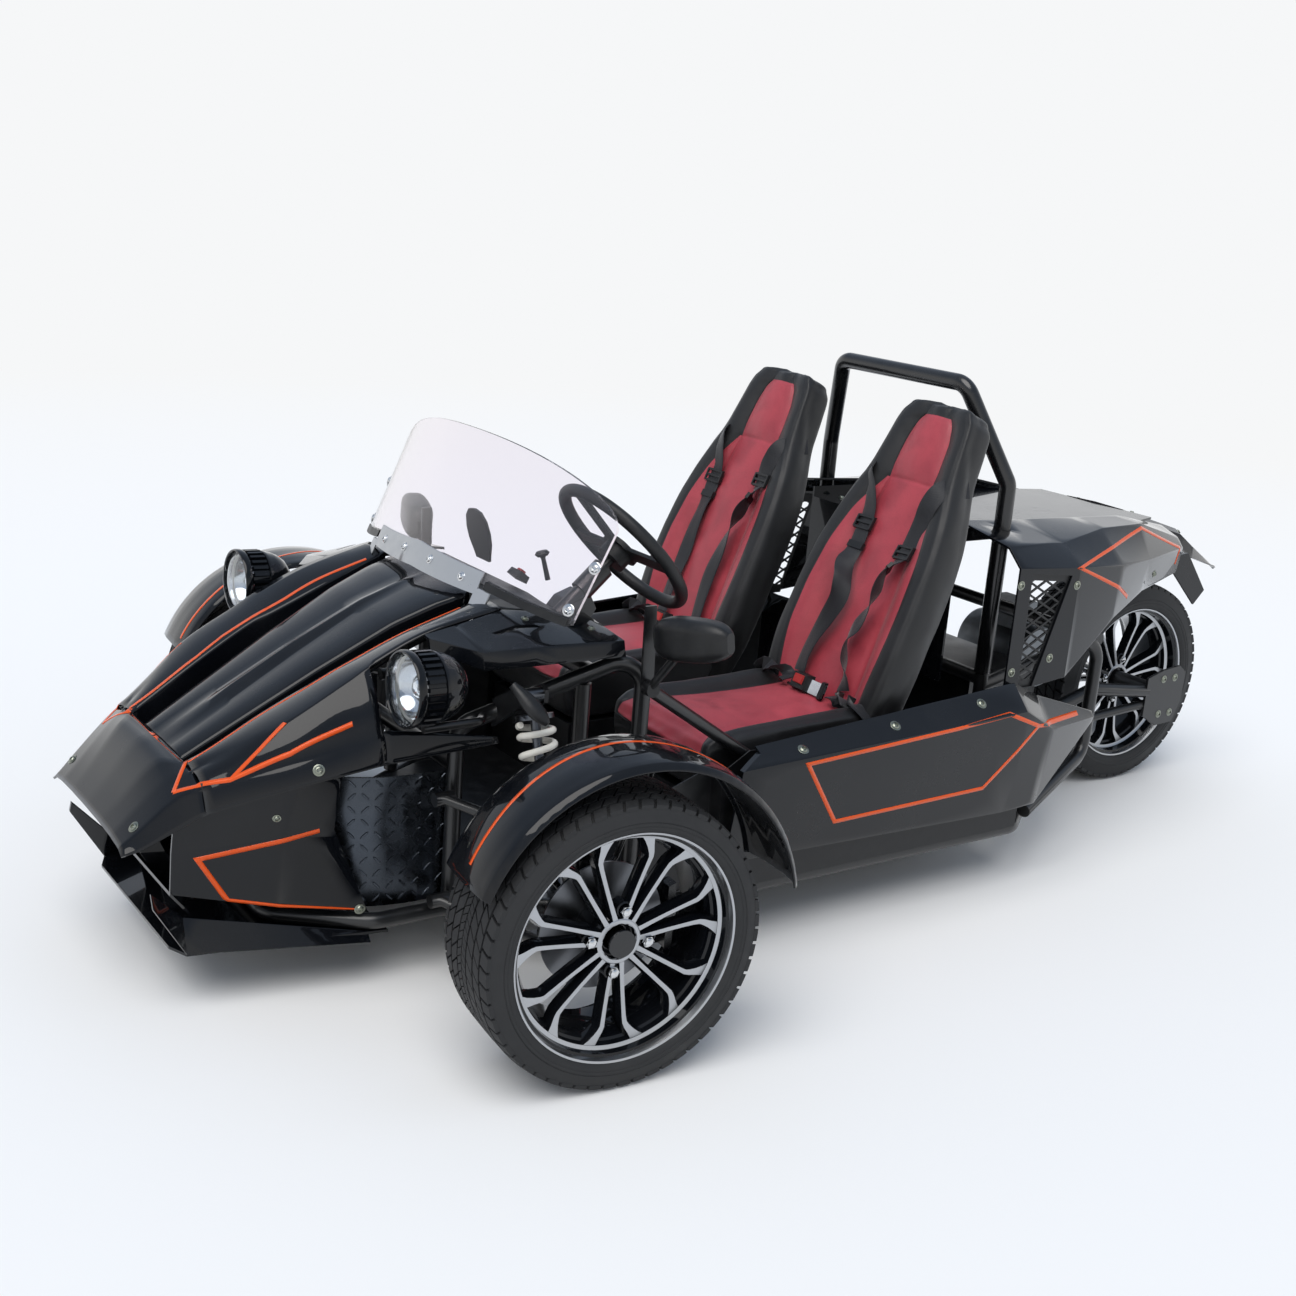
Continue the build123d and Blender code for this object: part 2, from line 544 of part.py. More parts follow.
STRAP_WIDTH = 46.0
STRAP_WALL = 2.5
with BuildPart() as harnesses:
    for side in (1, -1):
        face = seat_plane(side).offset(SEAT_GAP)
        for lane in (-86, 86):
            strap = [(lane - STRAP_WIDTH / 2, 118), (lane + STRAP_WIDTH / 2, 118),
                     (lane * 0.72 + STRAP_WIDTH / 2, 628), (lane * 0.72 - STRAP_WIDTH / 2, 628)]
            add_plate(face, strap, STRAP_WALL)
        add_plate(face, [(-130, 124), (130, 124), (130, 80), (-130, 80)], STRAP_WALL)
        add_plate(face, [(-31, 74), (31, 74), (31, 136), (-31, 136)], 14)
keep(harnesses, "harnesses")

# Lamps: bullet housings turned about their own axes
LAMP = (259.0, 432.0, 674.0)
LAMP_R = 75.0
HOUSING = [(0, -128), (28, -124), (52, -108), (68, -78), (75, -40), (LAMP_R, 0), (70, 0), (70, -14), (0, -14)]
GLASS = [(0, -6), (50, -2), (69.6, -6), (69.6, -13.7), (0, -13.7)]
RIB_COUNT = 12


def lamp_plane(side):
    """Plane of a lamp's rim, facing forward and a little up."""
    return Plane(origin=(ahead(LAMP[0]), side * LAMP[1], LAMP[2]), x_dir=(0, 1, 0), z_dir=(1, 0, 0.03))


with BuildPart() as headlight_housings:
    for side in (1, -1):
        turned(lamp_plane(side), HOUSING)
        foot = (ahead(LAMP_POINT[0]), side * LAMP_POINT[1], LAMP_POINT[2] + LAMP_BAR_R + SEAT_GAP)
        add_round(Plane(origin=foot), 12, 26)
keep(headlight_housings, "headlight_housings")

with BuildPart() as headlight_lenses:
    for side in (1, -1):
        turned(lamp_plane(side), GLASS)
keep(headlight_lenses, "headlight_lenses")

with BuildPart() as indicators:
    for side in (1, -1):
        root = Vector(ahead(SPRING_TOP[0] + 36.2), side * 456, 640)
        knee = Vector(ahead(52), side * 500, 672)
        tip = Vector(ahead(10), side * 556, 612)
        add_tube([tuple(root), tuple(knee)], 7)
        along = tip - knee
        lamp = Plane(origin=knee, x_dir=Vector(1, 0, 0).cross(along), z_dir=along)
        rings = []
        for share, wide, high in ((-0.12, 8, 8), (0.3, 17, 13), (0.75, 17, 12), (1.0, 6, 5)):
            with BuildSketch(lamp.offset(along.length * share)) as ring:
                Ellipse(high, wide)
            rings.append(ring.sketch)
        loft(sections=rings)
keep(indicators, "indicators")

MIRROR = (-285.0, 606.0, 768.0)
with BuildPart() as mirrors:
    for side in (1, -1):
        lean = Vector(-0.30, side, 0.16).normalized()
        rings = []
        for share, deep, high in ((-92, 10, 18), (-70, 28, 38), (10, 36, 44), (70, 28, 36), (94, 12, 20)):
            spot = Plane(origin=Vector(ahead(MIRROR[0]), side * MIRROR[1], MIRROR[2]) + lean * share,
                         x_dir=Vector(0, 0, 1), z_dir=lean)
            with BuildSketch(spot) as ring:
                RectangleRounded(2 * high, 2 * deep, min(deep, high) * 0.7)
            rings.append(ring.sketch)
        loft(sections=rings)
        add_tube([(ahead(DOOR_X + 2), side * 511, 643), (ahead(DOOR_X + 2), side * 530, 664),
                  (ahead(-282), side * 562, 722), (ahead(-282), side * 580, 748)], 9, 12)
        add_round(Plane(origin=(ahead(DOOR_X + 2), side * (DOOR_Y + 18.6), 640), z_dir=(0, side, 0)), 16, 24)
keep(mirrors, "mirrors")

# Steering knuckles, fenders and the parts that turn on them


def hub_plane(side, out=0.0):
    """Plane on a front wheel's axle, this far outboard of the wheel's middle."""
    turn = math.radians(REST_STEER)
    outward = Vector(-math.sin(turn) * side, math.cos(turn) * side, 0)
    forward = Vector(math.cos(turn), math.sin(turn), 0)
    origin = Vector(FRONT_X, side * KINGPIN_Y, TYRE_R) + outward * (SCRUB + out)
    return Plane(origin=origin, x_dir=forward, z_dir=outward)


REAR_HUB = Plane(origin=(REAR_X, 0, REAR_TYRE_R), x_dir=(1, 0, 0), z_dir=(0, -1, 0))

BARREL = [(227, -97), (216, -92), (214, -70), (196, -52), (196, 34), (214, 62), (216, 92), (227.5, 97)]
TREAD_HALF = [(0, 1.0), (55, 0.997), (82, 0.978), (99, 0.925), (104, 0.88)]
BEAD_HALF = [(103, 238), (96.3, 228.0), (91.3, 216.5), (66, 214.6), (76, 226), (88, 240), (92, 256)]


def add_barrel(hub, extra):
    """Rim barrel, widened by this much on either side."""
    chain = [(r, a + math.copysign(extra, a)) for r, a in BARREL]
    inner = offset_chain(chain, -7)
    turned(hub, chain + inner[::-1])


def add_spokes(hub, face, bore):
    """Seven pairs of thin spokes that part before the rim, on a hub that turns on its axle."""
    back = face - SPOKE_DEPTH
    with BuildSketch(hub.offset(back)) as star:
        for i in range(SPOKE_PAIRS):
            for hand in (1, -1):
                middle = math.radians(90 + i * 360 / SPOKE_PAIRS)
                line = []
                for radius, degrees in ((34, 14), (110, 9.5), (172, 8), (209, 14.5)):
                    angle = middle + hand * math.radians(degrees)
                    line.append((radius * math.cos(angle), radius * math.sin(angle)))
                ribbon = offset_chain(line, SPOKE_WIDTH / 2) + offset_chain(line, -SPOKE_WIDTH / 2)[::-1]
                with BuildLine():
                    Polyline(*ribbon, close=True)
                make_face()
        Circle(44)
    extrude(to_extrude=star.sketch, amount=SPOKE_DEPTH)
    add_round(hub.offset(-12), HUB_R, back + 18)
    add_round(hub.offset(-30), bore, face + 60, mode=Mode.SUBTRACT)


def add_tyre(hub, radius, extra):
    """Tyre with a flat tread, rounded shoulders and beads that sit on the rim."""
    wall = 10.0
    outer = [(radius * share, a + (extra if a else 0)) for a, share in TREAD_HALF]
    bead = [(r, a + extra) for a, r in BEAD_HALF]
    inside = [(radius - wall - 12, 76 + extra), (radius - wall, 52 + extra)]
    half = outer[1:] + bead + inside
    turned(hub, [outer[0]] + half + [(radius - wall, 0)] + [(r, -a) for r, a in half[::-1]])


ROTOR = [(30, -17.6), (DISC_R, -17.6), (DISC_R, -12.6), (HUB_R, -12.6), (HUB_R, -12.3), (30, -12.3)]
for name, side in (("left", 1), ("right", -1)):
    hub = hub_plane(side)
    with BuildPart() as rim:
        add_barrel(hub, 0)
        add_spokes(hub, SPOKE_FACE, AXLE_PIN_R + RUNNING_GAP)
    keep(rim, f"rim_front_{name}")
    with BuildPart() as tyre:
        add_tyre(hub, TYRE_R, 0)
    keep(tyre, f"tyre_front_{name}")
    with BuildPart() as rotor:
        turned(hub, ROTOR)
    keep(rotor, f"disc_front_{name}")

with BuildPart() as rim_rear:
    add_barrel(REAR_HUB, REAR_EXTRA_HALF)
    add_spokes(REAR_HUB, SPOKE_FACE, AXLE_PIN_R + RUNNING_GAP)
    turned(REAR_HUB, [(r, a + 0.3) for r, a in ROTOR])
keep(rim_rear, "rim_rear")

with BuildPart() as tyre_rear:
    add_tyre(REAR_HUB, REAR_TYRE_R, REAR_EXTRA_HALF)
keep(tyre_rear, "tyre_rear")

FENDER_R = 335.0
FENDER_BACK, FENDER_UP = 34.0, 5.0
FENDER_FROM, FENDER_SWEEP = 21.7, 148.2
FENDER_SECTION = [(-100, 0), (-92, 10), (-40, 17), (30, 18), (78, 12), (90, 0)]
FENDER_WALL = 5.0
SPINDLE_OUT = 60.0
STAY_ANGLE = 0.42
STAY_R = 6.0
for name, side in (("left", 1), ("right", -1)):
    hub = hub_plane(side)
    with BuildPart() as fender:
        chain = [(FENDER_R + rise, a) for a, rise in FENDER_SECTION]
        section = chain + offset_chain(chain, -FENDER_WALL)[::-1]
        centre = hub.origin - hub.x_dir * FENDER_BACK + Vector(0, 0, FENDER_UP)
        angle = math.radians(FENDER_FROM)
        radial = hub.x_dir * math.cos(angle) + Vector(0, 0, 1) * math.sin(angle)
        plane = Plane(origin=centre, x_dir=radial, z_dir=radial.cross(hub.z_dir))
        axis = Axis(centre, hub.z_dir * -side)
        revolve(profiles=polygon_on(plane, section), axis=axis, revolution_arc=FENDER_SWEEP)
    keep(fender, f"fender_{name}")

    with BuildPart() as knuckle:
        pivot = Vector(FRONT_X, side * KINGPIN_Y, 0)
        low, high = EYE_Z
        add_round(Plane(origin=pivot + Vector(0, 0, low + EYE_HEIGHT / 2 + 0.3)), 22,
                  high - low - EYE_HEIGHT - 0.6)
        for z in EYE_Z:
            add_round(Plane(origin=pivot + Vector(0, 0, z - EYE_HEIGHT / 2 - 8)), BALL_PIN_R, EYE_HEIGHT + 16)
        spindle = hub.offset(-SCRUB)
        add_round(spindle, 30, SCRUB - 24)
        add_round(spindle, AXLE_PIN_R, SCRUB + SPINDLE_OUT)
        add_round(hub.offset(SPOKE_FACE + 0.6), HUB_CAP_R, 8)
        add_round(hub.offset(SPINDLE_OUT), AXLE_PIN_R, SPOKE_FACE - SPINDLE_OUT + 2)
        arm = Plane(origin=pivot + Vector(0, 0, TYRE_R - 60), x_dir=hub.x_dir, z_dir=(0, 0, 1))
        add_plate(arm, [(12, side * 14), (12, side * -16), (-118, side * -40), (-124, side * -16)], 14)
        caliper = hub.offset(-46)
        add_plate(caliper, [(-84, -62), (-84, 62), (-150, 70), (-150, -70)], 14)
        add_plate(caliper, [(-134, -64), (-134, 64), (-150, 70), (-150, -70)], 46)
        add_plate(caliper, [(0, -24), (0, 24), (-90, 50), (-90, -50)], 14)
        for lean in (-1, 1):
            rise = hub.x_dir * lean * math.sin(STAY_ANGLE) + Vector(0, 0, math.cos(STAY_ANGLE))
            foot = pivot + Vector(0, 0, high - 120)
            knee = pivot + hub.x_dir * lean * 80 + Vector(0, 0, high - 28) - hub.z_dir * 10
            brow = centre + rise * (FENDER_R - 44) - hub.z_dir * 120
            top = centre + rise * (FENDER_R + 3) - hub.z_dir * (-FENDER_SECTION[0][0] + STAY_R + SEAT_GAP)
            add_tube([tuple(foot), tuple(knee), tuple(brow), tuple(top)], STAY_R, 14)
    keep(knuckle, f"knuckle_{name}")

# Wishbones, with eyes round the ball pins and bushes at the posts
ARM_R = 11.0
BUSH_R = 15.0
FRONT_BUSH = (POST_X + TUBE_R + SEAT_GAP, 350.0)
REAR_BUSH = (ARM_POST_X, ARM_POST_Y + TUBE_R + SEAT_GAP + BUSH_R)
with BuildPart() as wishbones:
    for z in EYE_Z:
        eye = (FRONT_X, KINGPIN_Y, z)
        for x, y in ((ahead(FRONT_BUSH[0] + 22), FRONT_BUSH[1]), (ahead(REAR_BUSH[0]), REAR_BUSH[1])):
            add_tube([eye, (x, y, z)], ARM_R)
        add_round(Plane(origin=(ahead(FRONT_BUSH[0]), FRONT_BUSH[1], z), z_dir=(1, 0, 0)), BUSH_R, 44)
        add_round(Plane(origin=(ahead(REAR_BUSH[0] - 22), REAR_BUSH[1], z), z_dir=(1, 0, 0)), BUSH_R, 44)
        add_round(Plane(origin=(FRONT_X, KINGPIN_Y, z - EYE_HEIGHT / 2)), EYE_R, EYE_HEIGHT)
        add_round(Plane(origin=(FRONT_X, KINGPIN_Y, z - EYE_HEIGHT)), BALL_PIN_R + RUNNING_GAP, 2 * EYE_HEIGHT,
                  mode=Mode.SUBTRACT)
    shelf = [(ahead(-62), 566), (ahead(30), 566), (ahead(22), 618), (ahead(-48), 618)]
    add_plate(Plane.XY.offset(EYE_Z[0] - 4), shelf, 10)
    for x in (SPRING_FOOT[0] - 30, SPRING_FOOT[0] + 22):
        ear = [(570, EYE_Z[0]), (612, EYE_Z[0]), (606, SPRING_FOOT[2] + 16), (576, SPRING_FOOT[2] + 16)]
        add_plate(station(ahead(x)), ear, 8)
    mirror(about=Plane.XZ)
keep(wishbones, "wishbones")

# Spring and damper units between the towers and the lower wishbones
COIL_BAR = 6.0
COIL_R = 33.0
COIL_TURNS = 5.5
COIL_SEAT = 48.0
DAMPER_EYE_R = 15.0
top_point = Vector(ahead(SPRING_TOP[0]), SPRING_TOP[1], SPRING_TOP[2])
foot_point = Vector(ahead(SPRING_FOOT[0]), SPRING_FOOT[1], SPRING_FOOT[2])
STROKE = (foot_point - top_point).length
damper_line = (foot_point - top_point).normalized()
damper_axis = Plane(origin=top_point, x_dir=(1, 0, 0), z_dir=damper_line)
with BuildPart() as dampers:
    for end in (top_point, foot_point):
        add_round(Plane(origin=end - Vector(19.5, 0, 0), z_dir=(1, 0, 0)), DAMPER_EYE_R, 39)
    add_round(damper_axis, 10, STROKE)
    add_round(damper_axis.offset(STROKE * 0.42), 21, STROKE * 0.5)
    add_round(damper_axis.offset(COIL_SEAT - 10), COIL_R + COIL_BAR, 9.9)
    add_round(damper_axis.offset(STROKE - COIL_SEAT + 0.1), COIL_R + COIL_BAR, 9.9)
    mirror(about=Plane.XZ)
keep(dampers, "dampers")

COIL_HEIGHT = STROKE - 2 * COIL_SEAT - 2 * COIL_BAR
with BuildPart() as coil_springs:
    coil_base = damper_axis.offset(COIL_SEAT + COIL_BAR)
    with BuildLine() as wire:
        Helix(pitch=COIL_HEIGHT / COIL_TURNS, height=COIL_HEIGHT, radius=COIL_R, center=coil_base.origin,
              direction=damper_line)
    with BuildSketch(Plane(origin=wire.line @ 0, z_dir=wire.line % 0)) as bar:
        RegularPolygon(COIL_BAR, 8)
    sweep(sections=bar.sketch, path=wire.line, is_frenet=True)
    mirror(about=Plane.XZ)
keep(coil_springs, "coil_springs")

# Hidden masses behind the seats, as plain blocks on the frame
with BuildPart() as battery_block:
    with Locations((fore(745), 0, RAIL_TOP + 12)):
        Box(250, 560, 300, align=(Align.CENTER, Align.CENTER, Align.MIN))
    for y in (-200, 200):
        with Locations((fore(715), y, RAIL_TOP)):
            Box(374, 30, 12, align=(Align.CENTER, Align.CENTER, Align.MIN))
keep(battery_block, "battery_block")

with BuildPart() as motor_block:
    with Locations((fore(430), 0, 430)):
        Cylinder(85, 240, rotation=(90, 0, 0))
    with Locations((fore(PIVOT_X) - TUBE_R - SEAT_GAP, 0, 500)):
        Box(82, 120, 75, align=(Align.MAX, Align.CENTER, Align.MIN))
keep(motor_block, "motor_block")

# Swingarm: a sleeve at the pivot, a bent arm on either side, and a bolted axle plate on the left
AXLE_OUT = 176.0
PLATE_WALL = 8.0
PLATE_Y = 200.0
BOLT_X, BOLT_Z = 50.0, 108.0
PLATE_BOLTS = (fore(-62), 285.0)
BOLT_HOLE_R = 4.3
AXLE_PLATE = [(34, 348), (34, 232), (-30, 196), (-104, 200), (-132, 262), (-134, 352), (-104, 374), (-30, 366)]
with BuildPart() as swingarm:
    add_round(Plane(origin=(fore(PIVOT_X), -PIVOT_Y + SEAT_GAP, PIVOT_Z), z_dir=(0, 1, 0)), 24,
              2 * PIVOT_Y - 2 * SEAT_GAP)
    for side, outer in ((1, PLATE_Y - 16), (-1, AXLE_OUT)):
        add_tube([(fore(PIVOT_X), side * 150, PIVOT_Z), (fore(360), side * 158, PIVOT_Z - 10),
                  (fore(250), side * 176, PIVOT_Z + 34), (fore(20), side * outer, REAR_TYRE_R)], 19)
        add_tube([(fore(PIVOT_X), side * 150, PIVOT_Z), (fore(300), side * 166, PIVOT_Z - 62),
                  (fore(20), side * outer, REAR_TYRE_R - 40)], 13)
    add_plate(side_plane(PLATE_Y), [(fore(x), z) for x, z in AXLE_PLATE], PLATE_WALL)
    add_plate(side_plane(-AXLE_OUT + 8), [(fore(44), 340), (fore(44), 240), (fore(-40), 270), (fore(-40), 336)], 16)
    add_round(Plane(origin=(REAR_X, PLATE_Y - 4, REAR_TYRE_R), z_dir=(0, -1, 0)), AXLE_PIN_R, PLATE_Y + AXLE_OUT)
    add_round(Plane(origin=(REAR_X, PLATE_Y, REAR_TYRE_R), z_dir=(0, -1, 0)), 26, PLATE_Y - 40)
    add_round(Plane(origin=(REAR_X, -AXLE_OUT + 4, REAR_TYRE_R), z_dir=(0, 1, 0)), 26, 96)
    for dx in (-0.5, 0.5):
        for dz in (-0.5, 0.5):
            hole = (PLATE_BOLTS[0] + dx * BOLT_X, PLATE_Y + 1, PLATE_BOLTS[1] + dz * BOLT_Z)
            add_round(Plane(origin=hole, z_dir=(0, -1, 0)), BOLT_HOLE_R, PLATE_WALL + 2, mode=Mode.SUBTRACT)
keep(swingarm, "swingarm")

# Steering column on the dash, and the steering wheel on its end
WHEEL_R = 165.0
WHEEL_GRIP = 14.0
BOSS_R = 34.0
column_top = Plane(origin=WHEEL_HUB, x_dir=(0, 1, 0), z_dir=COLUMN_AXIS)
with BuildPart() as steering_column:
    add_round(Plane(origin=COLUMN_FRONT, z_dir=COLUMN_AXIS), COLUMN_R, COLUMN_DOWN - 42)
    add_round(column_top.offset(-50), 9, 50)
    add_round(column_top.offset(-118), 24, 72)
    pod = [(ahead(DASH_X - SEAT_GAP), 730), (ahead(DASH_X - SEAT_GAP), 686), (ahead(DASH_X - 60), 706),
           (ahead(DASH_X - 96), 760), (ahead(DASH_X - 80), 790), (ahead(DASH_X - 40), 776)]
    add_plate(side_plane(SEAT_Y + 18), pod, 80)
keep(steering_column, "steering_column")

with BuildPart() as steering_wheel:
    grip = Plane(origin=column_top.from_local_coords((WHEEL_R, 0, 16)), x_dir=(0, 1, 0),
                 z_dir=Vector(0, 1, 0).cross(Vector(*COLUMN_AXIS)))
    with BuildSketch(grip) as grip_section:
        Circle(WHEEL_GRIP)
    revolve(profiles=grip_section.sketch, axis=Axis(WHEEL_HUB, COLUMN_AXIS))
    add_round(column_top.offset(-24), BOSS_R, 42)
    with BuildSketch(column_top.offset(4)) as spokes:
        for angle in (0, 180, 270):
            with Locations(Location((0, 0, 0), angle)):
                with Locations((WHEEL_R / 2, 0)):
                    Rectangle(WHEEL_R - 6, 34)
        Circle(BOSS_R + 10)
    extrude(to_extrude=spokes.sketch, amount=8)
    add_round(column_top.offset(-60), 9 + RUNNING_GAP, 61, mode=Mode.SUBTRACT)
keep(steering_wheel, "steering_wheel")
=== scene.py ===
import json
import math

import bpy
from mathutils import Matrix, Vector, noise
from mathutils.bvhtree import BVHTree

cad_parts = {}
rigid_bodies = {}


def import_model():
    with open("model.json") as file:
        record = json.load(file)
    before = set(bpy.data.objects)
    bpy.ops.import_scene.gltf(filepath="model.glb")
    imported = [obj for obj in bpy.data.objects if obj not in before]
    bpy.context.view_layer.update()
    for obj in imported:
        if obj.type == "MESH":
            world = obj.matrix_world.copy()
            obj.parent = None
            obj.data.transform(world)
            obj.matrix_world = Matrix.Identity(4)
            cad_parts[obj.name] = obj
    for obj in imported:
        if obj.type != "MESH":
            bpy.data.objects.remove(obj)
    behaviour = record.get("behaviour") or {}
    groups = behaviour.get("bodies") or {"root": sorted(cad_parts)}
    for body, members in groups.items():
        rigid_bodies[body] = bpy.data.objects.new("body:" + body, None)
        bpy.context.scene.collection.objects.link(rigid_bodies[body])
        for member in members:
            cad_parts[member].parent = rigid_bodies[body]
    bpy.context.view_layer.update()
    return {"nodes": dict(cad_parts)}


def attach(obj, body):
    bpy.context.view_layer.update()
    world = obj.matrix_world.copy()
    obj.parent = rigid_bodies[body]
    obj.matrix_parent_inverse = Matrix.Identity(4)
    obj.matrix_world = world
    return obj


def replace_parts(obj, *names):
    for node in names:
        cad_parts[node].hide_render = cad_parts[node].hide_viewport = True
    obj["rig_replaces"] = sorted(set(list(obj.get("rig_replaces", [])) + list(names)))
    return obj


bl_info = {
    "name": "Electric Tricycle Dressing",
    "version": (1, 0, 0),
    "blender": (4, 5, 0),
    "location": "3D View > Sidebar > Tricycle",
    "description": "Builds the paint, wheels, seats and fittings of a two-seat electric tricycle",
    "category": "Add Mesh",
}

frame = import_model()
MM = 0.001

# Places that the panels and axles share, in millimetres as the frame has them
FRONT_AXLE_X = 979.0
REAR_AXLE_X = -1334.0
KINGPIN_Y = 690.6
SCRUB = 110.0
PARKED_STEER = math.radians(-5.84)
FRONT_TYRE_R = 288.0
REAR_TYRE_R = 304.0
REAR_EXTRA_HALF = 10.0
SEAT_Y = 294.0
SEAT_FOOT = (88.4, 430.0)
SEAT_RECLINE = math.radians(23)


def ahead(distance):
    """X of a place this far ahead of the front axle, in millimetres."""
    return FRONT_AXLE_X + distance


def linear(code):
    """Linear colour of an sRGB hex code."""
    channels = []
    for start in (1, 3, 5):
        level = int(code[start:start + 2], 16) / 255
        channels.append(level / 12.92 if level <= 0.04045 else ((level + 0.055) / 1.055) ** 2.4)
    return (*channels, 1.0)


# Shapes

class Shape:
    """Points and faces of one piece, in millimetres, with a finish number for each face."""

    def __init__(self):
        self.points = []
        self.faces = []
        self.finishes = []

    def add(self, points, faces, finish=0):
        start = len(self.points)
        self.points += [Vector(p) for p in points]
        self.faces += [[start + i for i in face] for face in faces]
        self.finishes += [finish] * len(faces)
        return start

    def loft(self, rings, finish=0, closed=True):
        """Skin over rings of equal length, its ends filled if the rings are closed; finish is a number, or a
        function of (ring, place)."""
        count = len(rings[0])
        points = [p for ring in rings for p in ring]
        faces, marks = [], []
        for r in range(len(rings) - 1):
            for i in range(count if closed else count - 1):
                j = (i + 1) % count
                faces.append([r * count + i, r * count + j, (r + 1) * count + j, (r + 1) * count + i])
                marks.append(finish(r, i) if callable(finish) else finish)
        start = self.add(points, faces)
        self.finishes[-len(faces):] = marks
        if closed:
            last = start + (len(rings) - 1) * count
            self.faces += [[start + i for i in range(count)][::-1], [last + i for i in range(count)]]
            self.finishes += [finish(0, 0), finish(len(rings) - 1, 0)] if callable(finish) else [finish] * 2
        return start

    def turn(self, profile, steps, finish=0, place=Matrix.Identity(4)):
        """Skin of (radius, height) points turned once round the place's Z."""
        rings = []
        for s in range(steps):
            angle = math.tau * s / steps
            rings.append([place @ Vector((r * math.cos(angle), r * math.sin(angle), h)) for r, h in profile])
        rings.append(rings[0])
        self.loft(rings, finish, closed=False)

    def box(self, place, size, finish=0, taper=1.0):
        """Block centred on a place, its top drawn in by taper."""
        x, y, z = (s / 2 for s in size)
        low = [(-x, -y, -z), (x, -y, -z), (x, y, -z), (-x, y, -z)]
        high = [(px * taper, py * taper, z) for px, py, _ in low]
        self.loft([[place @ Vector(p) for p in low], [place @ Vector(p) for p in high]], finish)

    def tube(self, path, radius, sides=10, finish=0):
        """Round bar along a path; radius is one number or one for each point."""
        rings = []
        across = Vector((0, 0, 1))
        for i, point in enumerate(path):
            before, after = path[max(i - 1, 0)], path[min(i + 1, len(path) - 1)]
            along = (Vector(after) - Vector(before)).normalized()
            across = (across - along * across.dot(along))
            if across.length < 1e-4:
                across = along.orthogonal()
            across.normalize()
            other = along.cross(across)
            size = radius[i] if isinstance(radius, (list, tuple)) else radius
            rings.append([Vector(point) + (across * math.cos(math.tau * k / sides)
                                           + other * math.sin(math.tau * k / sides)) * size for k in range(sides)])
        self.loft(rings, finish)

    def piece(self, name, finishes, body, slot, crease=32.0, place=None):
        """The finished object, riding on its body."""
        mesh = bpy.data.meshes.new(name)
        mesh.from_pydata([p * MM for p in self.points], [], self.faces)
        for finish in finishes:
            mesh.materials.append(finish)
        for polygon, mark in zip(mesh.polygons, self.finishes):
            polygon.material_index = mark
            polygon.use_smooth = True
        mesh.set_sharp_from_angle(angle=math.radians(crease))
        mesh.update()
        return placed(name, mesh, body, place)


def placed(name, mesh, body, place=None):
    """An object of this mesh, at a place in millimetres, riding on its body."""
    piece = bpy.data.objects.new(name, mesh)
    bpy.context.scene.collection.objects.link(piece)
    if place is not None:
        shift = place.copy()
        shift.translation = place.translation * MM
        piece.matrix_world = shift
    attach(piece, body)
    return piece


def basis(origin, x_axis, z_axis):
    """Place with its own X and Z along two directions."""
    z_dir = Vector(z_axis).normalized()
    x_dir = Vector(x_axis)
    x_dir = (x_dir - z_dir * x_dir.dot(z_dir)).normalized()
    y_dir = z_dir.cross(x_dir)
    place = Matrix((x_dir, y_dir, z_dir)).transposed().to_4x4()
    place.translation = Vector(origin)
    return place


def smooth_line(points, steps):
    """Points of a smooth curve through the given ones, with this many steps a run."""
    line = []
    pts = [Vector(p) for p in points]
    for i in range(len(pts) - 1):
        before = pts[i - 1] if i else pts[0] * 2 - pts[1]
        after = pts[i + 2] if i + 2 < len(pts) else pts[-1] * 2 - pts[-2]
        for s in range(steps):
            t = s / steps
            line.append(0.5 * (2 * pts[i] + (pts[i + 1] - before) * t
                               + (2 * before - 5 * pts[i] + 4 * pts[i + 1] - after) * t * t
                               + (3 * pts[i] - before - 3 * pts[i + 1] + after) * t ** 3))
    line.append(pts[-1])
    return line


def between(rows, at):
    """Values of a table's row at a place along its first column, in straight runs between rows."""
    if at <= rows[0][0]:
        return rows[0][1:]
    for low, high in zip(rows, rows[1:]):
        if at <= high[0]:
            t = (at - low[0]) / (high[0] - low[0])
            return tuple(a + (b - a) * t for a, b in zip(low[1:], high[1:]))
    return rows[-1][1:]


def step(low, high, at):
    """0 before low, 1 after high, and a smooth rise between."""
    t = min(max((at - low) / (high - low), 0.0), 1.0)
    return t * t * (3 - 2 * t)


def surface(node):
    """Search tree of the faces that show for a frame node, in metres."""
    shown = frame["nodes"][node]
    for piece in bpy.context.scene.objects:
        if node in piece.get("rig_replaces", []):
            shown = piece
    mesh = shown.evaluated_get(bpy.context.evaluated_depsgraph_get()).data
    return BVHTree.FromPolygons([v.co.copy() for v in mesh.vertices], [tuple(p.vertices) for p in mesh.polygons])


def on_surface(tree, point, toward):
    """Nearest place of a surface along a direction from outside, with the way it faces; millimetres."""
    toward = Vector(toward).normalized()
    found, facing, _, _ = tree.ray_cast(Vector(point) * MM - toward * 0.4, toward)
    if found is None:
        found, facing, _, _ = tree.find_nearest(Vector(point) * MM)
    if facing.dot(toward) > 0:
        facing = -facing
    return found / MM, facing


def mirrored(point, side):
    return (point[0], point[1] * side, point[2])


# Node-based finishes

def add_node(tree, kind, settings=(), links=()):
    """Add a node, set its properties and sockets by name or number, and link its inputs."""
    node = tree.nodes.new(kind)
    for key, value in dict(settings).items():
        if isinstance(key, str) and key in node.bl_rna.properties:
            setattr(node, key, value)
        else:
            node.inputs[key].default_value = value
    for key, source in dict(links).items():
        tree.links.new(source, node.inputs[key])
    return node


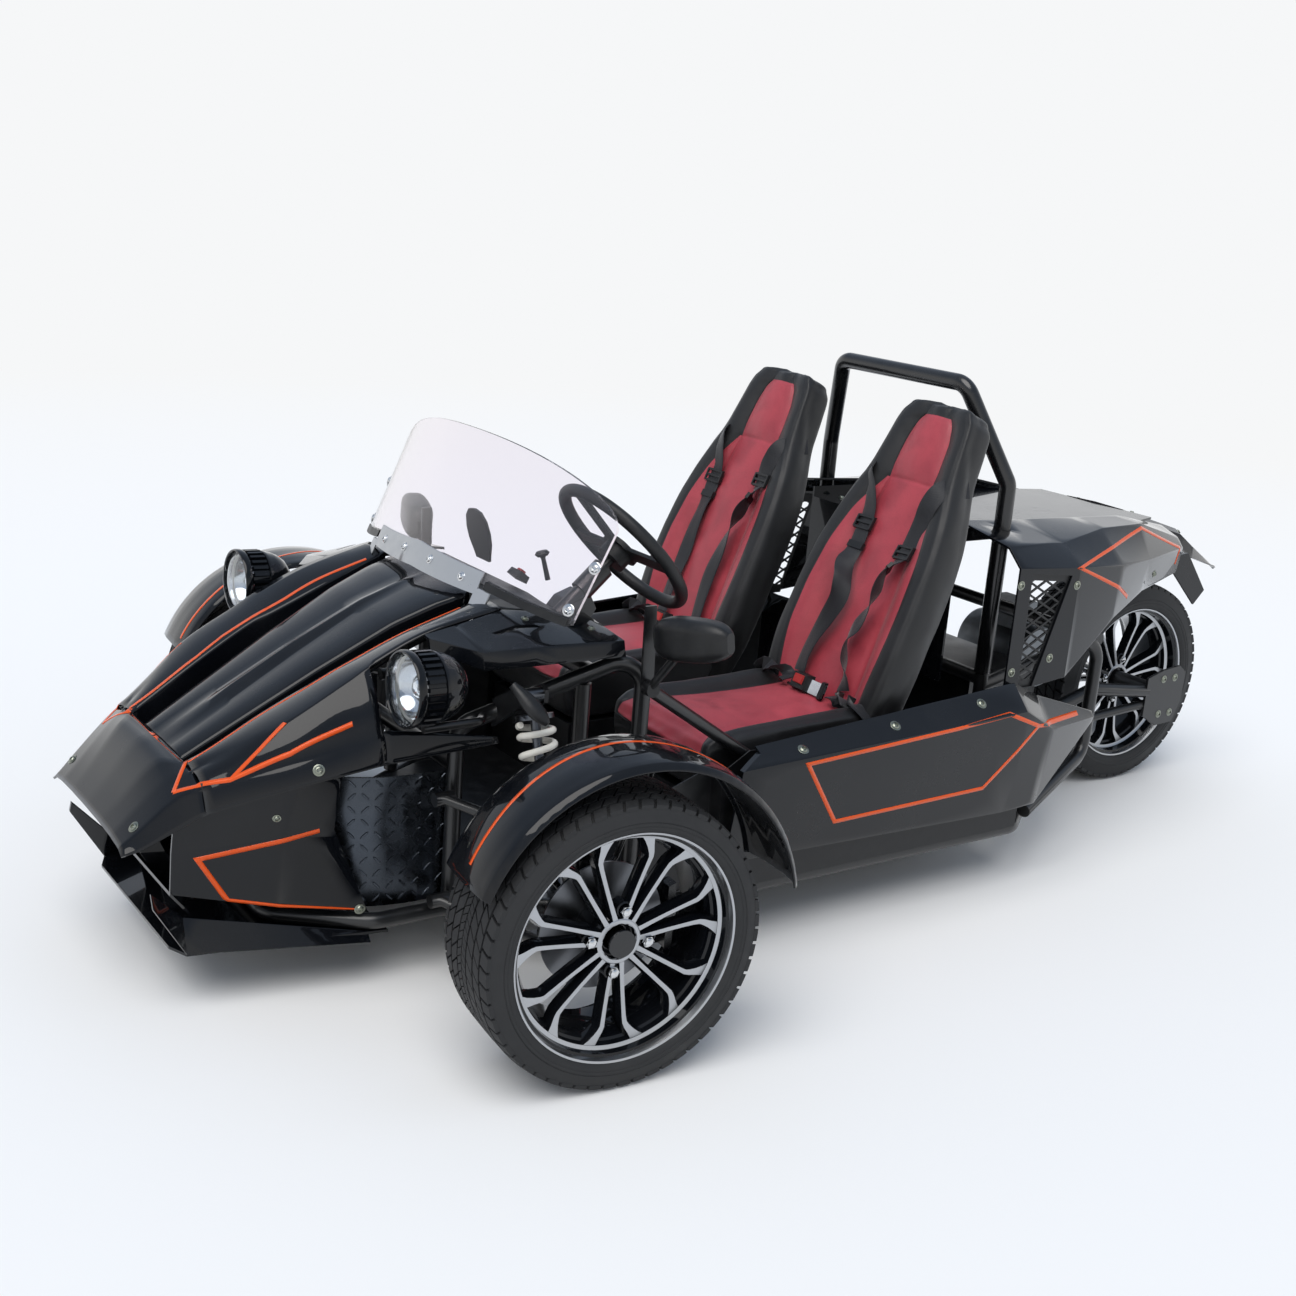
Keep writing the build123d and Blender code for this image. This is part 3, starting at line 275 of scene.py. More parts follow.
def start_finish(name, **sockets):
    """New material with its shader's sockets set."""
    finish = bpy.data.materials.new(name)
    finish.use_nodes = True
    shader = finish.node_tree.nodes["Principled BSDF"]
    for key, value in sockets.items():
        shader.inputs[key.replace("_", " ")].default_value = value
    return finish, finish.node_tree, shader


def add_grain(finish, size_mm, height_mm, rough_low, rough_high, patch_mm=60.0, shade=0.0):
    """Fine surface grain as bump, and patches of wear or dust as changes of roughness and shade."""
    tree = finish.node_tree
    shader = tree.nodes["Principled BSDF"]
    where = add_node(tree, "ShaderNodeTexCoord").outputs["Object"]
    grain = add_node(tree, "ShaderNodeTexNoise", {"Scale": 1000 / size_mm, "Detail": 3.0}, {"Vector": where})
    patch = add_node(tree, "ShaderNodeTexNoise", {"Scale": 1000 / patch_mm, "Detail": 5.0, "Roughness": 0.62},
                     {"Vector": where})
    rough = add_node(tree, "ShaderNodeMapRange", {1: 0.32, 2: 0.72, 3: rough_low, 4: rough_high},
                     {"Value": patch.outputs["Fac"]})
    tree.links.new(rough.outputs[0], shader.inputs["Roughness"])
    bump = add_node(tree, "ShaderNodeBump", {"Strength": 1.0, "Distance": height_mm * MM},
                    {"Height": grain.outputs["Fac"]})
    tree.links.new(bump.outputs[0], shader.inputs["Normal"])
    if shade:
        colour = shader.inputs["Base Color"].default_value[:]
        dusty = tuple(min(c + shade, 1.0) for c in colour[:3]) + (1.0,)
        spread = add_node(tree, "ShaderNodeMapRange", {1: 0.45, 2: 0.75}, {"Value": patch.outputs["Fac"]})
        mix = add_node(tree, "ShaderNodeMix", {"data_type": "RGBA", 6: colour, 7: dusty},
                       {0: spread.outputs[0]})
        tree.links.new(mix.outputs[2], shader.inputs["Base Color"])
    return bump


def enamel(name, colour, coat=1.0):
    """Two-pack enamel under clear lacquer: a deep black that mirrors the sky, with faint orange peel."""
    finish, _, _ = start_finish(name, Base_Color=colour, Coat_Weight=coat, Coat_Roughness=0.03,
                                Coat_IOR=1.38, IOR=1.5, Specular_IOR_Level=0.05)
    add_grain(finish, 9.0, 0.006, 0.2, 0.3, patch_mm=180.0, shade=0.003)
    return finish


def powder_coat(name, colour, rough=0.34):
    """Powder-coated steel: satin, with the fine pebbling of fused powder."""
    finish, _, _ = start_finish(name, Base_Color=colour, IOR=1.5, Coat_Weight=0.35, Coat_Roughness=0.22)
    add_grain(finish, 2.2, 0.05, rough - 0.05, rough + 0.1, patch_mm=90.0, shade=0.006)
    return finish


def moulded_plastic(name, colour, rough=0.42):
    """Moulded ABS: an even black with a fine spark-eroded grain that softens its highlights."""
    finish, _, _ = start_finish(name, Base_Color=colour, IOR=1.46)
    add_grain(finish, 0.9, 0.03, rough - 0.06, rough + 0.08, patch_mm=40.0, shade=0.008)
    return finish


def bare_metal(name, colour, rough, grain_mm=0.8, height_mm=0.01):
    """Machined or plated metal: bright, with fine tool marks that spread the reflections."""
    finish, _, _ = start_finish(name, Base_Color=colour, Metallic=1.0)
    add_grain(finish, grain_mm, height_mm, rough * 0.8, rough * 1.3, patch_mm=25.0)
    return finish


def turned_alloy(name, colour):
    """Diamond-turned aluminium: rings of fine tool marks round the axle draw highlights into arcs."""
    finish, tree, shader = start_finish(name, Base_Color=colour, Metallic=1.0, Roughness=0.3,
                                        Anisotropic=0.4)
    where = add_node(tree, "ShaderNodeTexCoord").outputs["Object"]
    # Tool marks are about 0.3 mm apart, drawn at 2 mm so that they show
    rings = add_node(tree, "ShaderNodeTexWave", {"wave_type": "RINGS", "rings_direction": "Z", "Scale": 80.0,
                                                 "Distortion": 0.3, "Detail": 2.0}, {"Vector": where})
    bump = add_node(tree, "ShaderNodeBump", {"Strength": 0.5, "Distance": 0.02 * MM},
                    {"Height": rings.outputs["Fac"]})
    tree.links.new(bump.outputs[0], shader.inputs["Normal"])
    return finish


def grained_leather(name, colour, deep):
    """Grained leatherette: pebbled cells 3 mm across, soft sheen, its colour mottled at random in broad patches, with
    painted shade darkening the grooves between the cells.
    """
    finish, tree, shader = start_finish(name, IOR=1.5, Sheen_Weight=0.08, Sheen_Roughness=0.5)
    where = add_node(tree, "ShaderNodeTexCoord").outputs["Object"]
    cells = add_node(tree, "ShaderNodeTexVoronoi", {"feature": "DISTANCE_TO_EDGE", "Scale": 330.0},
                     {"Vector": where})
    groove = add_node(tree, "ShaderNodeMapRange", {1: 0.0, 2: 0.16}, {"Value": cells.outputs["Distance"]})
    fine = add_node(tree, "ShaderNodeTexNoise", {"Scale": 900.0, "Detail": 2.0}, {"Vector": where})
    height = add_node(tree, "ShaderNodeMath", {"operation": "MULTIPLY_ADD", 1: 0.35},
                      {0: fine.outputs["Fac"], 2: groove.outputs[0]})
    # Broad random patches that mix the deeper tone with the lighter one and vary the roughness
    tone_patches = add_node(tree, "ShaderNodeTexNoise", {"Scale": 14.0, "Detail": 4.0, "Distortion": 0.6},
                     {"Vector": where})
    shade = add_node(tree, "ShaderNodeMapRange", {1: 0.3, 2: 0.68}, {"Value": tone_patches.outputs["Fac"]})
    tint = add_node(tree, "ShaderNodeMix", {"data_type": "RGBA", 6: deep, 7: colour}, {0: shade.outputs[0]})
    # Painted shade: the colour is darkened to 0.82 of itself in the grooves between the grain cells
    painted_groove_shade = add_node(tree, "ShaderNodeMapRange", {1: 0.0, 2: 1.0, 3: 0.82, 4: 1.0}, {"Value": groove.outputs[0]})
    tint_with_painted_groove_shade = add_node(tree, "ShaderNodeMix", {"data_type": "RGBA", "blend_type": "MULTIPLY", 0: 1.0},
                    {6: tint.outputs[2], 7: painted_groove_shade.outputs[0]})
    rough = add_node(tree, "ShaderNodeMapRange", {1: 0.3, 2: 0.7, 3: 0.40, 4: 0.52},
                     {"Value": tone_patches.outputs["Fac"]})
    tree.links.new(tint_with_painted_groove_shade.outputs[2], shader.inputs["Base Color"])
    tree.links.new(rough.outputs[0], shader.inputs["Roughness"])
    bump = add_node(tree, "ShaderNodeBump", {"Strength": 0.55, "Distance": 0.16 * MM},
                    {"Height": height.outputs[0]})
    tree.links.new(bump.outputs[0], shader.inputs["Normal"])
    return finish


def woven_webbing(name, colour):
    """Polyester seat-belt webbing: herringbone ribs 2 mm apart with a dull silky sheen."""
    finish, tree, shader = start_finish(name, Base_Color=colour, Roughness=0.55, IOR=1.5,
                                        Sheen_Weight=0.25, Sheen_Roughness=0.35)
    where = add_node(tree, "ShaderNodeTexCoord").outputs["UV"]
    ribs = add_node(tree, "ShaderNodeTexWave", {"bands_direction": "X", "Scale": 160.0, "Distortion": 0.4},
                    {"Vector": where})
    weft = add_node(tree, "ShaderNodeTexWave", {"bands_direction": "DIAGONAL", "Scale": 110.0},
                    {"Vector": where})
    height = add_node(tree, "ShaderNodeMath", {"operation": "ADD"},
                      {0: ribs.outputs["Fac"], 1: weft.outputs["Fac"]})
    bump = add_node(tree, "ShaderNodeBump", {"Strength": 0.6, "Distance": 0.25 * MM},
                    {"Height": height.outputs[0]})
    tree.links.new(bump.outputs[0], shader.inputs["Normal"])
    return finish


def clear_acrylic(name, colour, rough=0.015, ior=1.49):
    """Cast acrylic or lamp glass: clear, with a faint cast of its own."""
    finish, _, _ = start_finish(name, Base_Color=colour, Transmission_Weight=1.0, IOR=ior, Roughness=rough)
    return finish


def worn_rubber(name, colour):
    """Tyre rubber: matt charcoal, dusty brown in patches, with a fine moulded grain."""
    finish, _, _ = start_finish(name, Base_Color=colour, IOR=1.52)
    add_grain(finish, 1.6, 0.08, 0.62, 0.82, patch_mm=70.0, shade=0.012)
    return finish


# Settings that a user would change

def colour_property(name, description, code):
    return bpy.props.FloatVectorProperty(name=name, description=description, subtype="COLOR", size=4,
                                         min=0.0, max=1.0, default=linear(code))


class PaintSettings(bpy.types.PropertyGroup):
    body: colour_property("Body", "Enamel of the body panels", "#0A0C10")
    stripe: colour_property("Stripe", "Pinstripe round the panels", "#D9531E")
    steel: colour_property("Tubes", "Powder coat of the frame tubes", "#0D0E10")
    edge: bpy.props.FloatProperty(name="Edge", description="Rounding of the panel edges", default=0.0018,
                                  min=0.0, subtype="DISTANCE", unit="LENGTH")
    stripe_width: bpy.props.FloatProperty(name="Stripe width", description="Width of the thick pinstripes",
                                          default=0.010, min=0.001, subtype="DISTANCE", unit="LENGTH")


class WheelSettings(bpy.types.PropertyGroup):
    pairs: bpy.props.IntProperty(name="Spoke pairs", description="Pairs of spokes in each wheel", default=7,
                                 min=3, max=12)
    face: colour_property("Face", "Turned faces of the spokes and lip", "#B4B6B9")
    rubber: colour_property("Rubber", "Tyre compound", "#17181A")
    tread_depth: bpy.props.FloatProperty(name="Tread", description="Depth of the tread grooves", default=0.007,
                                         min=0.001, subtype="DISTANCE", unit="LENGTH")
    pitches: bpy.props.IntProperty(name="Tread pitches", description="Tread blocks round the tyre", default=56,
                                   min=12, max=120)


class SeatSettings(bpy.types.PropertyGroup):
    centre: colour_property("Centre", "Leatherette of the seat centres", "#B3404C")
    sides: colour_property("Sides", "Leatherette of the bolsters and sides", "#101114")
    webbing: colour_property("Webbing", "Harness webbing", "#14151A")


class LampSettings(bpy.types.PropertyGroup):
    fins: bpy.props.IntProperty(name="Fins", description="Cooling fins round each lamp", default=28, min=8, max=60)
    glass: colour_property("Glass", "Front glass of the lamps", "#F2F6FA")


class SpringSettings(bpy.types.PropertyGroup):
    turns: bpy.props.FloatProperty(name="Turns", description="Turns of each coil spring", default=8.5, min=3.0)
    bar: bpy.props.FloatProperty(name="Bar", description="Thickness of the coil's bar", default=0.014, min=0.002,
                                 subtype="DISTANCE", unit="LENGTH")
    colour: colour_property("Coil", "Stove enamel of the coils", "#E2DFD6")


class StageSettings(bpy.types.PropertyGroup):
    floor: colour_property("Floor", "Floor and backdrop", "#F1F1F0")
    light: bpy.props.FloatProperty(name="Light", description="Strength of the soft sun overhead", default=2.2,
                                   min=0.0)


SETTINGS = {"trike_paint": PaintSettings, "trike_wheels": WheelSettings, "trike_seats": SeatSettings,
            "trike_lamps": LampSettings, "trike_springs": SpringSettings, "trike_stage": StageSettings}
FINISH = {}


def settings(name):
    return getattr(bpy.context.scene, name)


# Finishes, and the frame's own nodes that keep their shape

NODE_FINISHES = {
    "body": ("front_fascia", "splitter", "side_panels", "rear_quarters", "rear_deck",
             "tail_guard", "shelf_cowls", "fender_left", "fender_right"),
    "tubes": ("frame_lower", "frame_front", "frame_rear", "wishbones", "swingarm", "battery_block", "steering_column"),
    "bar": ("roll_bar", "knuckle_left", "knuckle_right"),
    "plastic": ("scuttle", "side_grilles", "mirrors", "indicators", "floor_tub"),
    "plate": ("footbox",),
    "alloy": ("screen_bracket",),
    "motor": ("motor_block",),
    "disc": ("disc_front_left", "disc_front_right"),
    "damper": ("dampers",),
    "grip": ("steering_wheel",),
}


def mix_finishes():
    """Every finish that more than one piece wears."""
    paint = settings("trike_paint")
    FINISH["body"] = enamel("enamel_gloss_black", paint.body)
    FINISH["stripe"] = enamel("enamel_orange_pinstripe", paint.stripe, 0.7)
    FINISH["tubes"] = powder_coat("powder_coated_steel", paint.steel)
    FINISH["bar"] = powder_coat("powder_coated_gloss_steel", paint.steel, 0.2)
    FINISH["plastic"] = moulded_plastic("moulded_abs_black", linear("#0E0F11"))
    FINISH["plate"] = bare_metal("lacquered_chequer_plate", linear("#4A4F56"), 0.26, 3.0, 0.02)
    FINISH["alloy"] = bare_metal("brushed_aluminium", linear("#B9BCC0"), 0.34)
    FINISH["motor"] = bare_metal("cast_aluminium", linear("#7E8286"), 0.5, 2.5, 0.08)
    FINISH["chrome"] = bare_metal("chromed_steel", linear("#D4D6D8"), 0.12)
    FINISH["bolt"] = bare_metal("zinc_plated_steel", linear("#8E9286"), 0.3)
    FINISH["disc"] = turned_alloy("ground_cast_iron", linear("#74767A"))
    FINISH["turned"] = turned_alloy("diamond_turned_aluminium", settings("trike_wheels").face)
    FINISH["rubber"] = worn_rubber("tyre_rubber", settings("trike_wheels").rubber)
    FINISH["grip"] = moulded_plastic("moulded_grip_rubber", linear("#121315"), 0.5)
    FINISH["screen"] = clear_acrylic("cast_acrylic_clear", linear("#FAF4F8"))
    FINISH["glass"] = clear_acrylic("moulded_lamp_glass", settings("trike_lamps").glass, 0.02, 1.5)
    FINISH["damper"] = bare_metal("plated_damper_steel", linear("#5A5D62"), 0.3)
    FINISH["coil"] = enamel("stove_enamel_off_white", settings("trike_springs").colour, 0.4)
    FINISH["red"] = grained_leather("grained_leatherette_red", settings("trike_seats").centre, linear("#9C3440"))
    FINISH["black"] = grained_leather("grained_leatherette_black", settings("trike_seats").sides,
                                      linear("#0A0B0D"))
    FINISH["webbing"] = woven_webbing("woven_polyester_webbing", settings("trike_seats").webbing)
    FINISH["amber"] = clear_acrylic("moulded_amber_lens", linear("#E88A2A"), 0.08)
    FINISH["latch"] = moulded_plastic("moulded_red_button", linear("#A3201E"), 0.35)
    FINISH["mirror"] = bare_metal("silvered_glass", linear("#E8ECEF"), 0.03, 40.0, 0.001)


def dress_nodes():
    """Finish and soften the edges of the frame's nodes that are shown as they are."""
    paint = settings("trike_paint")
    for key, names in NODE_FINISHES.items():
        for name in names:
            node = frame["nodes"][name]
            node.data.materials.clear()
            node.data.materials.append(FINISH[key])
            weld = node.modifiers.new("join_facets", "WELD")
            weld.merge_threshold = 0.00002
            if key in ("body", "plastic", "bar", "motor", "plate"):
                round_over = node.modifiers.new("soft_edges", "BEVEL")
                round_over.width = paint.edge
                round_over.segments = 2
                round_over.limit_method = "ANGLE"
                round_over.angle_limit = math.radians(28)
                round_over.harden_normals = True


# Nose cowl and hood as smooth skins. Lines of the cowl on the left side, columns: distance ahead of
# the front axle, y, z
COWL_LINES = {
    "middle": [(735, 0, 354), (700, 0, 394), (630, 0, 476), (590, 0, 484)],
    "slot": [(735, 90, 353), (700, 100, 392), (630, 120, 472), (590, 160, 482), (441, 183, 573), (311, 200, 645),
             (270, 197, 662), (150, 200, 715), (-13, 222, 777)],
    "crest": [(735, 160, 350), (700, 165, 387), (630, 180, 458), (590, 206, 478), (441, 290, 582),
              (311, 300, 657), (270, 300, 682), (150, 300, 738), (-13, 312, 780)],
    "ridge": [(735, 210, 344), (700, 222, 376), (630, 238, 440), (590, 260, 462), (441, 333, 520),
              (311, 362, 556), (270, 372, 572), (45, 427, 550)],
    "bottom": [(735, 228, 334), (700, 240, 345), (630, 264, 388), (590, 284, 415), (441, 357, 472),
               (311, 385, 500), (270, 392, 508), (45, 431, 536)],
    "floor": [(590, 152, 430), (441, 175, 508), (311, 192, 580), (270, 189, 602), (150, 192, 668), (-13, 214, 740)],
    "foot": [(590, 112.3, 430), (441, 128.3, 508), (311, 141.3, 580), (270, 145.3, 602), (150, 158.3, 668),
             (-13, 179.3, 740)],
}
# Hood, columns: distance ahead of the front axle, half width, top, height of its spine, spine's half width
HOOD_ROWS = [(589, 112, 470, 0, 44), (540, 117, 500, 5, 42), (440, 128, 560, 12, 36), (310, 141, 637, 12, 30),
             (149, 158, 726, 7, 22), (60, 170, 763, 2, 16), (-14, 179, 785, 0, 12)]
PANEL = 5.0


def along_line(rows, x):
    """Point of a line at a distance ahead, on a smooth curve through its rows."""
    order = rows[::-1]
    i = 0
    while i < len(order) - 2 and x > order[i + 1][0]:
        i += 1
    a, b = order[i], order[i + 1]
    before = order[i - 1] if i else tuple(2 * p - q for p, q in zip(a, b))
    after = order[i + 2] if i + 2 < len(order) else tuple(2 * q - p for p, q in zip(a, b))
    span = b[0] - a[0]
    t = (x - a[0]) / span
    out = []
    for k in (1, 2):
        start = (b[k] - before[k]) / (b[0] - before[0]) * span
        end = (after[k] - a[k]) / (after[0] - a[0]) * span
        out.append((2 * t ** 3 - 3 * t ** 2 + 1) * a[k] + (t ** 3 - 2 * t ** 2 + t) * start
                   + (3 * t ** 2 - 2 * t ** 3) * b[k] + (t ** 3 - t ** 2) * end)
    return Vector((ahead(x), out[0], out[1]))


def bowed(a, b, steps, rise):
    """Points from a up to b, bowed outward in the cross-section."""
    run = b - a
    out = Vector((0, -run.z, run.y))
    out = out / out.length if out.length > 1e-6 else Vector((0, 0, 1))
    return [a.lerp(b, k / steps) + out * rise * 4 * (k / steps) * (1 - k / steps) for k in range(steps)]


def skin_sections(shape, places, names, rises):
    """Skin through cross-sections that run from line to line."""
    rings = []
    for x in places:
        ring = []
        points = [along_line(COWL_LINES[name], x) for name in names]
        for a, b, rise in zip(points, points[1:], rises):
            ring += bowed(a, b, 6, rise)
        rings.append(ring + [points[-1]])
    for side in (1, -1):
        both = [[mirrored(p, side) for p in ring] for ring in rings]
        shape.loft(both[::-1] if side > 0 else both, closed=False)


def places_between(rear, front, pitch=16.0):
    count = max(int((front - rear) / pitch), 1)
    return [rear + (front - rear) * k / count for k in range(count + 1)]


def thicken(piece, wall, width, angle=22):
    """Join the skins' edges, give them thickness inwards and round their creases."""
    piece.modifiers.new("join_skins", "WELD").merge_threshold = 0.0002
    rounded = piece.modifiers.new("soft_creases", "BEVEL")
    rounded.width = width * MM
    rounded.segments = 3
    rounded.limit_method = "ANGLE"
    rounded.angle_limit = math.radians(angle)
    wall_maker = piece.modifiers.new("panel_wall", "SOLIDIFY")
    wall_maker.thickness = wall * MM
    wall_maker.offset = -1


def build_nose():
    """Nose cowl with its two air slots, and the hood between them."""
    cowl = Shape()
    skin_sections(cowl, places_between(590, 735, 9), ["middle", "slot", "crest", "ridge", "bottom"], [0, 0, 0, 0])
    skin_sections(cowl, places_between(270, 590), ["foot", "floor", "slot", "crest", "ridge", "bottom"],
                  [0, 0, 5, 8, 3])
    skin_sections(cowl, places_between(-13, 270), ["foot", "floor", "slot", "crest"], [0, 0, 5])
    skin_sections(cowl, places_between(45, 270), ["ridge", "bottom"], [1])
    piece = cowl.piece("nose_cowl_skin", [FINISH["body"]], "chassis", "black_gloss", 50)
    thicken(piece, PANEL, 5)
    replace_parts(piece, "nose_cowl")
    hood = Shape()
    rings = []
    for x in places_between(-14, 589, 14):
        half, top, spine, wide = between([(-r[0], *r[1:]) for r in HOOD_ROWS], -x)
        half_line = [(0, top + spine), (wide * 0.5, top + spine * 0.55), (wide, top)]
        half_line += [(wide + (half - 12 - wide) * k / 5, top + 3 * math.sin(math.pi * k / 5)) for k in range(1, 5)]
        half_line += [(half - 12, top - 1.5), (half - 4, top - 4), (half, top - 11), (half, top - 66)]
        line = [(-y, z) for y, z in half_line[:0:-1]] + half_line
        rings.append([(ahead(x), y, z) for y, z in line])
    hood.loft(rings[::-1], closed=False)
    piece = hood.piece("hood_skin", [FINISH["body"]], "chassis", "black_gloss", 50)
    thicken(piece, PANEL, 3)
    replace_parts(piece, "hood")


# Windscreen, as its solid: radius of its bend, how far it leans back for each unit up, its foot
SCREEN_R = 900.0
SCREEN_X, SCREEN_FOOT, SCREEN_LEAN, SCREEN_WALL = 28.0, 806.0, 0.434, 5.0
SCREEN_HALF, SCREEN_CORNER, SCREEN_TOP = 472.0, 966.0, 1098.0


def build_screen():
    """Bent acrylic windscreen with one arc along its top."""
    screen = Shape()
    rings = []
    for k in range(65):
        share = -1 + k / 32
        foot = between([(0, 826), (200, 818), (463, 777)], abs(share) * 463)[0]
        top = SCREEN_CORNER + (SCREEN_TOP - SCREEN_CORNER) * (1 - abs(share) ** 2.2) ** 0.62
        ring = []
        for wall, rows in ((0.0, range(13)), (SCREEN_WALL, range(12, -1, -1))):
            for row in rows:
                z = foot + (top - foot) * row / 12
                y = share * (463 + (SCREEN_HALF - 463) * row / 12)
                deep = SCREEN_R - wall
                ring.append((ahead(SCREEN_X) - SCREEN_R + math.sqrt(deep ** 2 - y ** 2)
                             - SCREEN_LEAN * (z - SCREEN_FOOT), y, z))
        rings.append(ring)
    screen.loft(rings[::-1])
    piece = screen.piece("windscreen_pane", [FINISH["screen"]], "chassis", "clear_screen", 40)
    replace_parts(piece, "windscreen")
    strips = Shape()
    for low, high in ((-455, -250), (-205, 205), (250, 455)):
        rings = []
        for k in range(25):
            y = low + (high - low) * k / 24
            foot = between([(0, 826), (200, 818), (463, 777)], abs(y))[0]
            rings.append([(ahead(SCREEN_X) - SCREEN_R + math.sqrt((SCREEN_R + proud) ** 2 - y ** 2)
                           - SCREEN_LEAN * (foot + up - SCREEN_FOOT), y, foot + up)
                          for proud, up in ((3, -5), (3, 10), (-SCREEN_WALL - 3, 10), (-SCREEN_WALL - 3, -5))])
        strips.loft(rings)
    strips.piece("windscreen_edge_strips", [FINISH["plastic"]], "chassis", "black_plastic", 30)


# Wheels


def wheel_place(side, turn=PARKED_STEER):
    """Place of a front wheel: its Z runs outboard along the axle, its X runs forward."""
    outward = Vector((-math.sin(turn) * side, math.cos(turn) * side, 0))
    forward = Vector((math.cos(turn), math.sin(turn), 0))
    origin = Vector((FRONT_AXLE_X, side * KINGPIN_Y, FRONT_TYRE_R)) + outward * SCRUB
    return basis(origin, forward, outward)


REAR_PLACE = basis((REAR_AXLE_X, 0, REAR_TYRE_R), (1, 0, 0), (0, 1, 0))
WHEELS = [
    ("front_left", wheel_place(1), "wheel_front_left", FRONT_TYRE_R, 0.0),
    ("front_right", wheel_place(-1), "wheel_front_right", FRONT_TYRE_R, 0.0),
    ("rear", REAR_PLACE, "wheel_rear", REAR_TYRE_R, REAR_EXTRA_HALF),
]
# Spoke centre line in its pair's own place, columns: along, to one side, half width of face, face height
SPOKE_LINE = [(34, 8.4, 5.6, 60.5), (52, 10.4, 4.6, 60), (76, 13.0, 4.2, 59.5), (104, 16.1, 4.0, 59.5),
              (132, 19.2, 4.0, 60.5), (156, 21.9, 4.3, 62), (169, 23.8, 4.8, 63.5), (177, 28.0, 5.6, 64.5),
              (188, 36.5, 7.0, 65.5), (199, 45.5, 10.0, 66.2), (207, 52.0, 14.0, 66.6), (212, 56.0, 17.0, 66.6)]
SPOKE_FLANK = 5.5
SPOKE_DEEP = 26.0


def rim_shape(extra, pairs):
    """Rim in wheel millimetres: turned spokes and lip over a black barrel."""
    rim = Shape()
    rear = -97 - extra
    front = 97 + extra
    lip = [(205, 55), (207.5, 67), (213, 69.5), (219, 71 + extra * 0.5), (222, front - 8), (224.5, front - 1.5),
           (228.5, front), (230, front - 3), (229, front - 9), (222, front - 12), (216.5, front - 14),
           (214.5, 66), (200, 40), (200, -52), (214, -72 - extra), (216, rear + 4), (227, rear),
           (229, rear + 3), (228, rear + 8)]
    inner = [(222, rear + 8), (208, rear + 24), (192, -52), (192, 34), (200, 52), (205, 55)]
    profile = lip + inner
    rim.turn(profile, 128, finish=lambda r, i: 0 if 0 < i < 6 else 1)
    for pair in range(pairs):
        for hand in (1, -1):
            rings = []
            middle = math.radians(90 + pair * 360 / pairs)
            centres = []
            for out, aside, half, face in SPOKE_LINE:
                aside *= hand * 7 / pairs
                centres.append((out * math.cos(middle) - aside * math.sin(middle),
                                out * math.sin(middle) + aside * math.cos(middle), half, face))
            for i, (x, y, half, face) in enumerate(centres):
                before, after = centres[max(i - 1, 0)], centres[min(i + 1, len(centres) - 1)]
                along = Vector((after[0] - before[0], after[1] - before[1], 0)).normalized()
                across = Vector((-along.y, along.x, 0))
                wide = half + SPOKE_FLANK
                outline = [(-wide, face - SPOKE_DEEP), (-wide + 1, face - 11), (-half - 1, face - 2.5),
                           (-half, face - 0.4), (0, face), (half, face - 0.4), (half + 1, face - 2.5),
                           (wide - 1, face - 11), (wide, face - SPOKE_DEEP)]
                rings.append([Vector((x, y, 0)) + across * u + Vector((0, 0, w)) for u, w in outline])
            rim.loft(rings, finish=lambda r, i: 0 if i in (3, 4) else 1)
    hub = [(56, -12), (56, 34), (52, 46), (46, 52), (45, 60), (43, 61.5), (36.5, 61.5), (35, 59), (33, 50),
           (27, 48), (24, 46), (24, -12)]
    rim.turn(hub, 64, finish=lambda r, i: 0 if i in (4, 5, 6) else 1)
    return rim


def lug_nuts(rim):
    """Four plated wheel nuts in black pockets round the hub."""
    for k in range(4):
        angle = math.radians(-8 + 90 * k)
        place = Matrix.Translation((61 * math.cos(angle), 61 * math.sin(angle), 6))
        rim.turn([(17, 24), (16.5, 50), (13.5, 52), (13, 46)], 24, 1, place)
        hexagon = [(12.5, 44), (12.5, 58), (11.0, 61), (7.5, 62.5), (0.01, 63)]
        rim.turn(hexagon, 6, 2, place)
        rim.turn([(9.5, 44), (9.5, 60.5), (8.5, 64), (5, 66.5), (0.01, 67.5)], 20, 2, place)


# Half of the tyre's outside, columns: distance from its middle, radius as a share or a bead radius
TREAD_ROWS = [(1.5, 17, 0.30), (22, 46, 0.62), (51, 73, 0.55), (78, 97, 0.28)]


def tread_radius(radius, a, extra):
    """Radius of the tyre's crown at a distance from its middle."""
    share = max(abs(a) - extra, 0) / 97.0
    return radius - 2.0 * share ** 2 - 16.0 * max(share - 0.72, 0) ** 1.6 * 2.2


